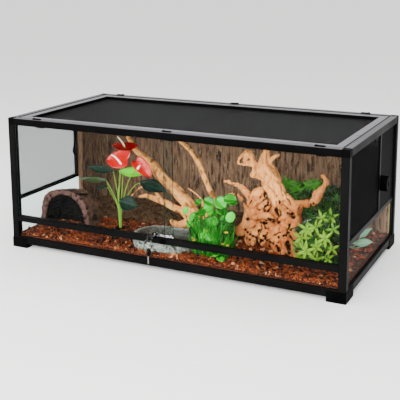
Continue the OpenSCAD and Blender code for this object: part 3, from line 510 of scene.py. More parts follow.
def front_catches():
    """Small black catches under the front top rail, one below each turn button."""
    size = Vector((0.030, 0.010, 0.0086))
    rail_low, rail_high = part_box("top_rail_front")
    bm = bmesh.new()
    for button in ("left", "centre", "right"):
        low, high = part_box(f"button_front_{button}")
        made = bmesh.ops.create_cube(bm, size=1)["verts"]
        at = ((low.x + high.x) / 2, rail_high.y - 0.006, rail_low.z - 0.0001 - size.z / 2)
        bmesh.ops.scale(bm, verts=made, vec=size)
        bmesh.ops.translate(bm, verts=made, vec=at)
    bmesh.ops.bevel(bm, geom=bm.edges[:], offset=0.001, affect="EDGES", segments=2, profile=0.5, material=-1)
    piece("front_catches", bm, [BLACK_PLASTIC], smooth=False)


front_catches()


# ---------------------------------------------------------------- background board

def bark_board():
    """Pressed bark board: brown, furrowed upright, with lilac-grey scales and pale flecks; painted shade at both ends.
    """
    look = Look("pressed bark board", IOR=1.4, Specular_IOR_Level=0.15)
    upright = look.speckle(1.0, 6, 0.7, (150, 150, 16))
    brown = look.blend(upright, 0.36, 0.62, "#5a3a2a", "#a0745a")
    grey = look.blend(look.speckle(1.0, 5, 0.65, (55, 55, 14)), 0.5, 0.7, brown, "#8d7470", 0.35)
    # Painted shade in the furrows between the plates.
    deep = look.blend(look.attribute("hollow"), 0.45, 1.0, grey, "#24130a", 0.85)
    flecked = look.blend(look.speckle(1.0, 3, 0.7, (300, 300, 110)), 0.615, 0.70, deep, "#e0c09a", 0.85)
    # Painted shade: darker to the left here, and to the right in the next line.
    shaded = look.mix(look.band(look.axis(0), -0.62, -0.10, 0.5, 0.0), flecked, "#241510")
    look.colour(look.axis(0), 0.05, 0.5, shaded, "#3a2010", 0.32)
    look.rough(upright, 0.3, 0.7, 0.7, 0.95)
    look.relief(upright, 0.0022, 0.8)
    return look.material


def cork_cut():
    """Saw-cut edge of the board: pale cork granules pressed together."""
    look = Look("cut cork edge", IOR=1.4, Roughness=0.9, Specular_IOR_Level=0.2)
    grain = look.speckle(330, 3)
    look.colour(grain, 0.35, 0.65, "#6b4d33", "#b8925f")
    look.relief(grain, 0.001, 0.7)
    return look.material


def background():
    """The board: upright plates of bark on a flat sheet, bent round the rear left corner."""
    low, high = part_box("background")
    thick, bend = 0.024, 0.090
    plate, plate_depth, swell_depth, sunk, edge_round = 0.0135, 0.0036, 0.002, 0.0015, 0.012
    height = high.z - low.z
    straight = (high.x - low.x) - bend
    turn = math.pi / 2 * bend
    back = (high.y - bend) - low.y
    length = straight + turn + back

    def along(s):
        """A point on the board's back and the way that its face looks, from the right end round to the left front."""
        if s < straight:
            return Vector((high.x - s, high.y, 0)), Vector((0, -1, 0))
        if s < straight + turn:
            a = (s - straight) / bend
            out = Vector((-math.sin(a), math.cos(a), 0))
            return Vector((low.x + bend, high.y - bend, 0)) + out * bend, -out
        return Vector((low.x, high.y - bend - (s - straight - turn), 0)), Vector((1, 0, 0))

    bm = skin(520, 84, lambda u, w: Vector((u * length, w * height, thick)))
    for v in thickened(bm):
        v.co.z = 0
    hollow = bm.verts.layers.float.new("hollow")
    for v in bm.verts:
        s, z, front = v.co.x, v.co.y, v.co.z > 0
        base, face = along(min(max(s, 0), length))
        depth = 0.0
        if front:
            p = Vector((s, z, 0))
            p += 0.007 * noise.noise_vector(p * 22)
            plates = ridges(Vector((p.x, p.y * 0.22, 3)), plate, 3)
            swell = noise.noise(Vector((p.x * 16, p.y * 4, 9)))
            edge = min(1, min(s, length - s, z, height - z) / edge_round)
            depth = edge * (plate_depth * (plates - 0.7) + swell_depth * swell) - sunk
            v[hollow] = min(1, max(0, 1.1 - 1.1 * plates - 0.2 * swell))
        v.co = base + face * ((thick if front else 0) + depth) + Vector((0, 0, low.z + z))
    bmesh.ops.recalc_face_normals(bm, faces=bm.faces)
    for f in bm.faces:
        rim = abs(f.normal.z) > 0.8 or (abs(f.normal.x) > 0.9 and f.calc_center_median().x > high.x - 0.01)
        f.material_index = 1 if rim else 0
    piece("background_bark", bm, [bark_board(), cork_cut()], ["background"])


background()


# ---------------------------------------------------------------- bedding


def back_shade(look):
    """One where the bedding lies far back and is turned brown by painted shade, nothing in the front and at the right
    end.
    """
    edge = look.sum("MULTIPLY_ADD", look.speckle(30, 3), 0.05, look.axis(1))
    return look.sum("MULTIPLY", look.band(edge, 0.015, 0.055), look.band(look.axis(0), 0.36, 0.5, 1, 0))


def bark_chip():
    """Pine bark chips: orange-brown split faces, dark outer bark, each chip its own tone, painted brown shade at the
    back.
    """
    look = Look("pine bark chips", IOR=1.4, Specular_IOR_Level=0.2)
    tone = look.attribute("tone")
    grain = look.speckle(210, 4)
    dark = look.blend(tone, 0.2, 0.5, "#1c0803", "#6c260c")
    warm = look.blend(tone, 0.5, 0.9, dark, "#923e16")
    pale = look.blend(tone, 0.94, 1.0, warm, "#e8a070")
    worn = look.blend(grain, 0.4, 0.75, pale, "#2e1007", 0.6)
    brown = look.blend(tone, 0.1, 1.0, "#3a2415", "#6e4a32")
    # Painted shade: far back the chips turn brown.
    look.feed("Base Color", look.mix(back_shade(look), worn, brown))
    look.rough(grain, 0.3, 0.7, 0.5, 0.85)
    look.relief(grain, 0.0009, 0.8)
    return look.material


def bark_fines():
    """The crumbs between the chips: dark, damp and broken up."""
    look = Look("bark fines", IOR=1.4, Roughness=0.9, Specular_IOR_Level=0.2)
    crumb = look.speckle(150, 5)
    look.colour(crumb, 0.4, 0.7, "#1c0a04", "#5a220c")
    look.relief(crumb, 0.004, 1.0)
    return look.material


def heap(x, y):
    """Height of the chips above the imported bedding."""
    return 0.003 + 0.004 * noise.noise(Vector((x * 9, y * 9, 1.5))) + 0.002 * noise.noise(Vector((x * 31, y * 31, 4)))


def bedding():
    """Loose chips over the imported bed, and three rows of them upright against the front glass."""
    low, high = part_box("bedding")
    post_x, post_front, post_rear = 0.574, -0.25, 0.283  # the corner posts stand beyond these
    off_glass, lowest = 0.0005, 0.0396
    chips = []
    dice = random.Random(11)
    for _ in range(5):
        bm = bmesh.new()
        bmesh.ops.create_cube(bm, size=1)
        bmesh.ops.scale(bm, verts=bm.verts, vec=(1, dice.uniform(0.4, 0.62), dice.uniform(0.14, 0.26)))
        for v in bm.verts:
            v.co += Vector(dice.uniform(-0.13, 0.13) for _ in range(3)) * (1 if v.co.z > 0 else 0.6)
        chips.append(template(bm))
    bm = bmesh.new()
    for _ in range(11500):
        x, y = dice.uniform(low.x + 0.012, high.x - 0.012), dice.uniform(low.y + 0.008, high.y - 0.012)
        if abs(x) > post_x and (y < post_front or y > post_rear):
            continue
        size = dice.uniform(0.011, 0.021) * (0.7 if dice.random() < 0.4 else 1)
        at = Vector((x, y, BED + heap(x, y) - 0.003 + dice.uniform(0, 0.007)))
        stamp(dice.choice(chips), turned(at, dice.uniform(0, 360), dice.gauss(0, 24), dice.gauss(0, 28), (size,) * 3),
              dice.random(), bm)
    for x in np.linspace(low.x + 0.02, high.x - 0.02, 560):
        for row in range(3):
            size = dice.uniform(0.007, 0.014)
            at = Vector((x + dice.uniform(-0.004, 0.004), low.y + dice.uniform(0.004, 0.012),
                         0.0415 + 0.004 * row + dice.uniform(-0.003, 0.003)))
            stamp(dice.choice(chips), turned(at, dice.gauss(0, 50), dice.gauss(0, 30), 60 + dice.gauss(0, 35),
                                             (size,) * 3), dice.random(), bm)
    for v in bm.verts:
        v.co.x = max(low.x + off_glass, min(high.x - off_glass, v.co.x))
        v.co.y = max(low.y + off_glass, min(high.y - off_glass, v.co.y))
        v.co.z = max(lowest, v.co.z)
    piece("bedding_chips", bm, [bark_chip()], ["bark_chips"], smooth=False)
    give(bark_fines(), "bedding")


bedding()


# ---------------------------------------------------------------- hide and dish


def resin_log():
    """Painted resin cast as bark: mauve-brown, pinker and paler round its mouth, with painted shade black inside and in
    its furrows.
    """
    look = Look("painted resin bark", IOR=1.4, Specular_IOR_Level=0.08)
    coat_and_shade = look.attribute("coat_and_shade")
    fleck = look.speckle(300, 3)
    body = look.blend(look.speckle(60, 5), 0.35, 0.7, "#452c24", "#70503f")
    rim = look.blend(fleck, 0.35, 0.68, "#38221f", "#6e4b45")
    coat = look.blend(coat_and_shade, 0.5, 0.95, body, rim)
    # Painted shade in the furrows of the bark.
    worn = look.blend(look.attribute("hollow"), 0.4, 0.95, coat, "#170b07")
    # Painted shade: the inside is drawn near black.
    look.colour(coat_and_shade, 0.0, 0.4, "#040303", worn)
    look.rough(fleck, 0.3, 0.7, 0.55, 0.85)
    look.relief(fleck, 0.0012, 0.8)
    return look.material


def arch(a, half, high, power):
    """A point on an arch, at an angle from its right foot: round at a power of 1, squarer below it."""
    c, s = math.cos(a), math.sin(a)
    return math.copysign(half * abs(c) ** power, c), high * abs(s) ** power


def hide():
    """Half a hollow log, narrower at its closed back, with a thick lip."""
    long, shrink, base = 0.099, 0.14, 0.018
    half, high, lip, lip_high = 0.089, 0.130, 0.017, 0.016
    bark, bark_depth = 0.022, 0.006
    section = [(r, 0) for r in (1, 0.75, 0.5, 0.25, 0)] + [(0, y / 6) for y in range(1, 7)] \
        + [(r, 1) for r in (0.25, 0.5, 0.75, 1)] + [(1, 1 - y / 6) for y in range(1, 7)]

    def wall(u, w):
        r, y = section[round(u * len(section)) % len(section)]
        if w in (0.0, 1.0):
            r, y = 0.5, 0.5
        x, z = arch(math.pi * (1 - w), half + lip * r, high + lip_high * r, 0.88 - 0.2 * r)
        share = 1 - shrink * y
        return Vector((x * share, long * y, z * share))

    bm = skin(len(section), 90, wall, closed=True)
    back = bmesh.new()
    ring = bmesh.ops.create_circle(back, cap_ends=True, segments=41, radius=1)["verts"]
    for i, v in enumerate(ring):
        x, z = arch(math.pi * i / 40, 0.087, 0.119, 2 / 3)
        v.co = (x, long - base, z)
    bmesh.ops.translate(back, verts=thickened(back), vec=(0, base - 0.002, 0))
    bmesh.ops.recalc_face_normals(back, faces=back.faces)
    pour(back, bm)
    bm = fused(bm, 0.0024)
    coat_and_shade = bm.verts.layers.float.new("coat_and_shade")
    for v in bm.verts:
        share = 1 - shrink * v.co.y / long
        within = (abs(v.co.x) / share / (half + 0.006)) ** 2.3 + (max(0, v.co.z) / share / (high + 0.006)) ** 2.3 < 1
        within = within and 0.005 < v.co.y < long - 0.010
        # 0 inside, drawn as painted shade; outside, the paint of the body, paler at the rim.
        v[coat_and_shade] = 0.0 if within else 0.5 + 0.5 * math.exp(-(v.co.y / 0.012) ** 2)
    carved(bm, bark, bark_depth, 0.006, (1, 0.35, 1), floor=0.0)
    bm.transform(Matrix.Translation(HIDE))
    piece("hide_bark", bm, [resin_log()], ["hide"])


hide()


def cast_granite():
    """Cast resin granite: mid-grey with pale and black grains, with painted shade in its cracks and inside the bowl."""
    look = Look("cast granite", IOR=1.5, Specular_IOR_Level=0.35)
    grain = look.speckle(170, 4, 0.8)
    body = look.blend(look.speckle(40, 4), 0.35, 0.7, "#6a6761", "#95928b")
    black = look.blend(grain, 0.36, 0.46, "#24231f", body)
    white = look.blend(grain, 0.56, 0.64, black, "#d8d5cc")
    # Painted shade in the cracks.
    cracked = look.blend(look.attribute("hollow"), 0.45, 0.95, white, "#1c1a16")
    # Painted shade inside the bowl, below its rim.
    look.colour(look.attribute("bowl_shade"), 0.2, 0.8, cracked, "#2e231a", 0.85)
    look.rough(grain, 0.3, 0.7, 0.45, 0.75)
    look.relief(grain, 0.0008, 0.7)
    return look.material


def water_dish():
    """A long oval bowl. Its profile goes from the middle of the foot round the rim to the middle of the hollow."""
    straight, radius = 0.032, 0.086
    rows = [(0.0, 0.0), (0.5, 0.0), (0.93, 0.0), (0.965, 0.010), (0.985, 0.024), (0.99, 0.036), (0.965, 0.042),
            (0.90, 0.0435), (0.83, 0.041), (0.77, 0.030), (0.70, 0.0205), (0.55, 0.0185), (0.3, 0.018), (0.0, 0.018)]
    out, rise = np.transpose(rows)
    reach = np.concatenate([[0], np.cumsum(np.hypot(np.diff(out * 0.1), np.diff(rise)))])

    def wall(u, w):
        a = 2 * math.pi * u
        share, up = (float(np.interp(w * reach[-1], reach, row)) for row in (out, rise))
        shift = math.copysign(straight, math.cos(a)) * min(1, abs(math.cos(a)) * 4)
        edge = Vector((shift + radius * math.cos(a), radius * math.sin(a), 0))
        return edge * share + Vector((0, 0, up))

    bm = skin(220, 96, wall, closed=True)
    # Where the bowl's inside gets its painted shade.
    bowl_shade = bm.verts.layers.float.new("bowl_shade")
    for v in bm.verts:
        span = math.hypot(max(0, abs(v.co.x) - straight), v.co.y) / radius
        v[bowl_shade] = min(1, max(0, (0.86 - span) / 0.08)) if v.co.z > 0.012 else 0.0
    carved(bm, 0.013, 0.0055, 0.005, (1, 1, 1.3), floor=0.0)
    bm.transform(Matrix.Translation(DISH))
    piece("dish_granite", bm, [cast_granite()], ["water_dish"])


water_dish()


# ---------------------------------------------------------------- wood

# Runs of [x, y, z, radius] in millimetres, from the foot of each piece
BRANCH_RUNS = [
    [(8, 0, 4, 26), (4, 0, 34, 25), (-8, 2, 70, 23), (-26, 3, 98, 22), (-56, 4, 122, 22), (-84, 5, 146, 20),
     (-116, 6, 170, 17.5), (-148, 8, 200, 17), (-175, 10, 228, 15), (-214, 14, 249, 11.5), (-246, 17, 272, 11),
     (-266, 20, 296, 10), (-284, 24, 318, 7)],
    [(0, 0, 22, 20), (-16, -8, 48, 16), (-34, -14, 67, 15), (-68, -18, 80, 13), (-108, -20, 97, 11),
     (-149, -22, 107, 10), (-179, -24, 114, 8), (-212, -24, 106, 4.5)],
    [(-118, -20, 100, 7), (-136, -22, 125, 5), (-158, -24, 142, 4.2), (-179, -28, 146, 3.6), (-199, -31, 145, 3.2),
     (-219, -33, 129, 3), (-239, -35, 107, 2.6), (-253, -36, 92, 2)],
    [(18, 6, 20, 20), (46, 16, 56, 13), (62, 22, 98, 10), (64, 22, 131, 9), (48, 24, 157, 8.5), (33, 24, 192, 9.5),
     (13, 25, 236, 10), (1, 26, 254, 10), (-18, 27, 278, 9), (-41, 29, 297, 8), (-63, 30, 311, 7), (-82, 32, 325, 5)],
    [(30, 4, 70, 6), (40, -8, 108, 4), (25, -10, 132, 3.4), (2, -11, 148, 2.8), (-19, -12, 158, 2)],
    [(-56, 10, 8, 15), (-26, 4, 14, 20), (8, 0, 18, 24), (40, 2, 16, 20), (66, 4, 8, 14)],
    [(10, 2, 60, 10), (30, -6, 36, 11), (44, -22, 14, 10), (50, -34, 2, 8)],
    [(-6, -14, 34, 16), (-28, -22, 26, 15), (-48, -28, 20, 15), (-66, -32, 28, 11), (-76, -34, 40, 5)]]

STUMP_RUNS = [
    [(-10, 0, 342, 11.5), (-12, 0, 333, 11.5), (-15, 0, 318, 13.5), (-18, -2, 301, 15.5), (-19, -3, 285, 18.5),
     (-11, -4, 267, 25), (1, -4, 249, 28), (12, -6, 228, 30.5), (23, -8, 207, 27.5), (33, -8, 182, 27.5),
     (50, -10, 159, 34.5), (64, -12, 136, 38), (69, -12, 106, 38), (72, -14, 73, 38), (80, -16, 40, 35.5),
     (91, -22, 15, 29), (109, -36, -1, 19.5)],
    [(-19, -6, 278, 16), (-37, -10, 268, 15), (-48, -12, 253, 11.5), (-55, -14, 246, 8.5), (-43, -14, 243, 7.5),
     (-25, -8, 243, 11.5)],
    [(-41, -8, 268, 13.5), (-49, -8, 280, 10), (-57, -8, 293, 8), (-63, -8, 307, 8.5), (-74, -8, 318, 11),
     (-88, -8, 314, 7.5), (-98, -10, 304, 5.5), (-107, -10, 292, 5), (-107, -12, 283, 4.5), (-95, -14, 279, 4.5),
     (-77, -14, 280, 4.5), (-60, -12, 281, 6), (-47, -8, 277, 9)],
    [(-70, -13, 313, 7.5), (-81, -14, 303, 5.5), (-89, -14, 293, 4.5), (-76, -15, 289, 4.5), (-60, -12, 292, 6)],
    [(-8, -2, 285, 10), (1, 0, 297, 6), (10, 0, 308, 5), (20, 0, 316, 4.5), (33, 0, 322, 4)],
    [(-13, -20, 192, 16), (-32, -24, 183, 18.5), (-44, -24, 159, 21), (-49, -26, 129, 23), (-54, -28, 99, 23.5),
     (-66, -30, 72, 21), (-85, -32, 56, 17.5), (-102, -32, 51, 9.5)],
    [(-43, -24, 151, 16.5), (-62, -20, 169, 10.5), (-78, -18, 185, 8.5), (-91, -16, 196, 7.5), (-105, -16, 205, 7),
     (-118, -16, 205, 5.5), (-132, -16, 209, 4.5), (-146, -16, 216, 4), (-158, -16, 214, 3.5)],
    [(-129, -44, 176, 3.5), (-109, -44, 182, 3.5), (-93, -46, 180, 3.5), (-81, -48, 169, 3.5), (-71, -50, 154, 3.5),
     (-61, -52, 141, 4), (-52, -54, 127, 4), (-42, -56, 118, 5.5), (-22, -60, 119, 6), (0, -62, 127, 6.5),
     (19, -60, 126, 7), (35, -56, 115, 7), (45, -50, 96, 6.5)],
    [(-1, 6, 140, 25), (-2, 4, 105, 42), (2, 2, 67, 47), (16, 0, 34, 42), (32, -4, 7, 29.5)],
    [(19, 40, 49, 38), (9, 44, 11, 34), (-5, 46, -14, 21.5)],
    [(-25, -44, 137, 13.5), (-3, -50, 151, 11.5), (13, -46, 166, 10)],
    [(-2, -46, 89, 17.5), (-22, -50, 74, 17.5), (-40, -52, 54, 16.5), (-51, -50, 35, 14), (-41, -46, 21, 10.5)],
    [(23, -52, 68, 17.5), (5, -56, 47, 15.5), (-6, -54, 29, 11)],
    [(39, -50, 92, 16.5), (52, -56, 65, 17), (47, -60, 40, 15), (60, -62, 19, 14), (77, -64, 5, 10.5)],
    [(74, -50, 84, 19), (87, -56, 53, 19), (100, -62, 29, 16.5), (115, -66, 12, 13), (129, -70, 2, 8)],
    [(99, -24, 126, 19), (102, -24, 97, 18), (109, -26, 69, 17), (114, -28, 40, 15), (116, -32, 9, 13)],
    [(77, -12, 150, 24.5), (96, -10, 152, 19), (109, -6, 161, 12.5)],
    [(93, -8, 154, 16.5), (111, -4, 162, 11), (131, -2, 168, 9.5), (149, 0, 173, 9), (161, 0, 184, 10),
     (167, 0, 200, 14), (175, 0, 215, 11), (187, 0, 228, 8), (194, 0, 243, 7.5), (193, 0, 256, 6.5),
     (187, 0, 264, 6), (179, 0, 265, 5.5)]]
# Holes and grooves in its front, as [x, y, z, size]
KNOTS = [(2, -44, 195, 7), (2, -44, 188, 6.5), (9, -34, 175, 4.5), (8, -34, 165, 4.5), (6, -36, 157, 4.5),
         (2, -42, 153, 4.5), (2, -48, 140, 5), (41, -42, 145, 7.5), (48, -42, 139, 10.5), (52, -42, 131, 7),
         (20, -60, 118, 4.5), (28, -60, 115, 6.5), (35, -58, 110, 6), (6, -62, 100, 6.5), (14, -62, 101, 4.5),
         (-9, -66, 74, 6), (-10, -66, 69, 4.5), (-56, -74, 72, 4.5), (-48, -74, 65, 4.5), (-39, -74, 59, 4.5),
         (-28, -74, 55, 4.5), (-17, -74, 51, 4.5), (8, -72, 61, 4.5), (15, -72, 54, 4.5), (23, -73, 47, 4.5),
         (33, -74, 43, 4.5), (44, -75, 41, 4.5), (56, -76, 34, 4.5), (62, -76, 27, 6), (65, -76, 19, 7),
         (92, -70, 51, 6.5), (95, -70, 40, 8.5), (97, -72, 29, 8), (99, -74, 17, 7), (62, -70, 63, 5),
         (72, -56, 67, 4.5), (80, -54, 69, 4.5), (88, -52, 78, 4.5), (94, -48, 87, 4.5), (89, -22, 132, 7.5),
         (92, -22, 124, 8), (-41, -72, 40, 4.5), (32, -76, 27, 4.5), (-57, -50, 103, 6.5)]


def wood(name, node, foot, runs, material, voxel, size, depth, warp, stretch, knots=(), calm=9.0, lobed=False):
    """A piece of wood: runs melted into one, furrowed, and holed along the line from which they were seen."""
    bm = bmesh.new()
    for i, run in enumerate(runs):
        pour(limb(np.array(run) / 1000, 28, 8, 0.3, 6, i * 7.3), bm)
    bm = fused(bm, voxel)
    carved(bm, size, depth, warp, stretch, floor=0.0, calm=calm, lobed=lobed)
    bm.normal_update()
    hollow = bm.verts.layers.float["hollow"]
    into = Vector((-0.36, 0.90, -0.25)).normalized()
    outer = [v for v in bm.verts if v.normal.dot(into) < -0.1] if knots else []
    for x, y, z, r in knots:
        at, wide = mm(x, y, z), (1.2 + r) / 1000
        for v in outer:
            off = v.co - at
            aside = (off - into * off.dot(into)).length
            if aside < 1.6 * wide:
                near = math.exp(-(aside / (0.75 * wide)) ** 2)
                v.co += into * (near * wide * 1.7)
                # The holes' high hollow value gives them painted shade.
                v[hollow] = max(v[hollow], min(1, 1.6 * near))
    bm.transform(Matrix.Translation(foot))
    return piece(name, bm, [material], [node])


PEELED = dry_wood("peeled branch", "#f8a25c", "#d67c3c", "#a85824", "#6e3212", (60, 60, 60), (0.05, 0.12), (0.6, 1.1))
# The stump gets painted shade on its right arm.
BLASTED = dry_wood("sand-blasted stump", "#f79c58", "#a85226", "#88401a", "#200a03", (90, 90, 30), (0.19, 0.27),
                   (0.25, 0.8), painted_shade_x=(0.345, 0.385))
wood("branch_grain", "branch_wood", BRANCH, BRANCH_RUNS, PEELED, voxel=0.0026, size=0.020, depth=0.0022, warp=0.010,
     stretch=(1, 1, 0.5))
wood("stump_grain", "stump_wood", STUMP, STUMP_RUNS, BLASTED, voxel=0.0024, size=0.032, depth=0.019, warp=0.014,
     stretch=(1, 1, 0.7), knots=KNOTS, calm=0.17, lobed=True)


# ---------------------------------------------------------------- plants


def blade(long, wide, shape, cells=(8, 12), notch=0.0, cup=0.0, droop=0.0, wave=0.0, ribs=0, thick=0.0006, rim=2.0):
    """A leaf along +X from its stalk, as a template: shape gives its half width at shares of its length."""
    at, half = zip(*shape)

    def place(u, w):
        s = 2 * u - 1
        h = float(np.interp(w, at, half)) * wide / 2
        x = long * w - notch * abs(s) ** 1.5 * (1 - w) ** 2
        z = cup * s * s * wide - droop * long * w * w + wave * long * math.sin(9 * w + 2 * s) * abs(s)
        return Vector((x, s * h, z))

    bm = skin(*cells, place)
    vein = bm.verts.layers.float.new("vein")
    for v in bm.verts:
        w = min(1, max(0, v.co.x / long))
        h = max(1e-5, float(np.interp(w, at, half)) * wide / 2)
        s = abs(v.co.y) / h
        side = abs(((w - 0.22 * s) * ribs) % 1 - 0.5) * 2 if ribs else 0
        v[vein] = max(1 if s < 0.14 or s > rim or w > 0.5 + rim / 2 else 0, side ** 3 * 0.9)
    return template(bm, thick)


HEART = [(0, 0.5), (0.04, 0.74), (0.12, 0.92), (0.28, 1.0), (0.48, 0.96), (0.68, 0.78), (0.84, 0.5), (0.94, 0.26),
         (1, 0.03)]
LANCE = [(0, 0.08), (0.12, 0.42), (0.3, 0.86), (0.45, 1.0), (0.62, 0.86), (0.8, 0.5), (0.93, 0.2), (1, 0.03)]
ROUND = [(0, 0.2), (0.06, 0.55), (0.2, 0.88), (0.42, 1.0), (0.65, 0.95), (0.85, 0.68), (0.95, 0.4), (1, 0.12)]
BLADE = [(0, 0.7), (0.3, 1.0), (0.7, 0.8), (0.9, 0.45), (1, 0.06)]


def stalk(bm, points, slot=0, tone=0.5, around=8):
    """A thin green stem through [x, y, z, radius] rows in millimetres."""
    stamp(template(limb(np.array(points) / 1000, around, 5)), Matrix.Identity(4), tone, bm, slot)


STEM = leaf_skin("fresh green stalk", "#86a834", "#3f6618", "#a8c058", 0.45, 0.25)
SPATHE = leaf_skin("waxy red spathe", "#cc0606", "#780206", "#ea3018", 0.2, 0.5)
DEEP_SPATHE = leaf_skin("dark red spathe", "#d00a08", "#8a0406", "#e83a18", 0.25, 0.4)
SPADIX = leaf_skin("pale spadix", "#f8e3cd", "#f2b9a8", "#ffffff", 0.55, 0.3)
TEAL_LEAF = leaf_skin("dark waxy leaf", "#1f3a2a", "#081710", "#34513a", 0.45, 0.15)
OLIVE_LEAF = leaf_skin("olive leaf", "#3c4f22", "#16220d", "#6a7c34", 0.3, 0.5)
LIME_LEAF = leaf_skin("young lime leaf", "#69c612", "#238a10", "#a6e04c", 0.3, 0.4)


def anthurium():
    """The flowering plant: three red heads with their spadices, and six leaves on thin stems."""
    bm = bmesh.new()
    broad = blade(0.084, 0.074, HEART, (14, 16), 0.010, 0.09, 0.10, 0.005, 6, 0.0009)
    narrow = blade(0.080, 0.050, HEART, (12, 14), 0.006, 0.16, 0.08, 0.008, 6, 0.0009)
    leaf = blade(0.104, 0.052, LANCE, (10, 16), 0.0, 0.12, 0.10, 0.004, 8)
    long_leaf = blade(0.112, 0.040, LANCE, (10, 18), 0.0, 0.16, -0.20, 0.006, 8)
    # Red heads: template, foot of the blade, yaw, lift, roll, tone, material
    for shape, at, yaw, lift, roll, tone, slot in (
            (broad, mm(44, -14, 268), 186, -3, -50, 0.75, 1), (broad, mm(52, 4, 302), 176, 8, -9, 0.35, 2),
            (narrow, mm(80, -18, 268), -6, -38, 40, 0.85, 1)):
        stamp(shape, turned(at, yaw, lift, roll), tone, bm, slot)
    for tone, points in (
            (0.9, [(26, -26, 252, 3.6), (22, -31, 262, 3.6), (12, -34, 274, 3.4), (2, -34, 281, 3),
                   (-10, -32, 284, 2.2)]),
            (0.45, [(24, 0, 312, 3), (20, -4, 324, 2.8), (10, -6, 336, 2.3), (0, -6, 345, 1.7)]),
            (1.0, [(92, -30, 240, 4.4), (97, -33, 247, 4.4), (102, -34, 253, 3.6), (105, -34, 258, 2.6)])):
        stalk(bm, points, 3, tone, 10)
    # Leaves: template, foot, yaw, lift, roll, tone, material, length and width
    for shape, at, yaw, lift, roll, tone, slot, long, wide in (
            (leaf, mm(6, -8, 218), 2, 4, 34, 0.95, 6, 1.06, 0.90),
            (long_leaf, mm(-28, 6, 213), 184, -4, -36, 0.15, 4, 0.88, 0.95),
            (long_leaf, mm(-52, -2, 178), 186, -10, -26, 0.25, 5, 0.90, 0.85),
            (leaf, mm(-58, 12, 152), 196, -12, -30, 0.0, 4, 0.44, 0.5),
            (leaf, mm(80, 8, 184), -4, -8, 34, 0.0, 4, 1.06, 1.1),
            (leaf, mm(9, -14, 113), -12, -2, 58, 0.1, 4, 0.80, 1.15)):
        stamp(shape, turned(at, yaw, lift, roll, (long, wide, 1)), tone, bm, slot)
    for points in (
            [(-2, 0, 8, 2.2), (-4, 0, 60, 2), (-6, 0, 104, 1.8), (-3, -2, 150, 1.6), (8, -6, 200, 1.5),
             (20, -16, 252, 1.3)],
            [(2, -1, 8, 2.2), (2, -1, 60, 1.9), (7, -1, 104, 1.8), (12, -2, 160, 1.6), (18, 2, 240, 1.4),
             (24, 4, 310, 1.3)],
            [(4, -3, 8, 2.2), (6, -4, 60, 2), (14, -5, 104, 1.8), (28, -8, 150, 1.6), (50, -12, 200, 1.4),
             (88, -20, 244, 1.3)],
            [(0, -4, 8, 2.2), (-1, -6, 60, 2), (0, -8, 110, 1.8), (4, -8, 160, 1.6), (8, -8, 218, 1.4)],
            [(-3, 3, 8, 2), (-6, 3, 96, 1.6), (-14, 4, 150, 1.4), (-28, 6, 212, 1.2)],
            [(-4, 2, 8, 2), (-10, 1, 92, 1.7), (-26, 0, 132, 1.5), (-52, -2, 177, 1.3)],
            [(-3, 4, 8, 1.8), (-12, 3, 88, 1.4), (-34, 8, 120, 1.2), (-58, 12, 151, 1.1)],
            [(3, 2, 8, 2), (9, 0, 96, 1.7), (34, 4, 138, 1.5), (60, 6, 172, 1.4), (82, 8, 183, 1.2)],
            [(1, -5, 8, 2), (4, -8, 92, 1.6), (10, -14, 114, 1.4)]):
        stalk(bm, points, 0, 0.55)
    bm.transform(Matrix.Translation(FLOWER))
    skins = [STEM, SPATHE, DEEP_SPATHE, SPADIX, TEAL_LEAF, OLIVE_LEAF, LIME_LEAF]
    piece("anthurium", bm, skins, ["flowering_plant"])


anthurium()

FRESH_LEAF = leaf_skin("glossy round leaf", "#2fae18", "#033a08", "#5cc838", 0.26, 0.3)
GRASS_LEAF = leaf_skin("grass blade", "#2a861a", "#021a04", "#388c22", 0.45, 0.15)
YELLOW_PETAL = leaf_skin("yellow petal", "#f2d33a", "#c08a1c", "#fff2a0", 0.5, 0.3)


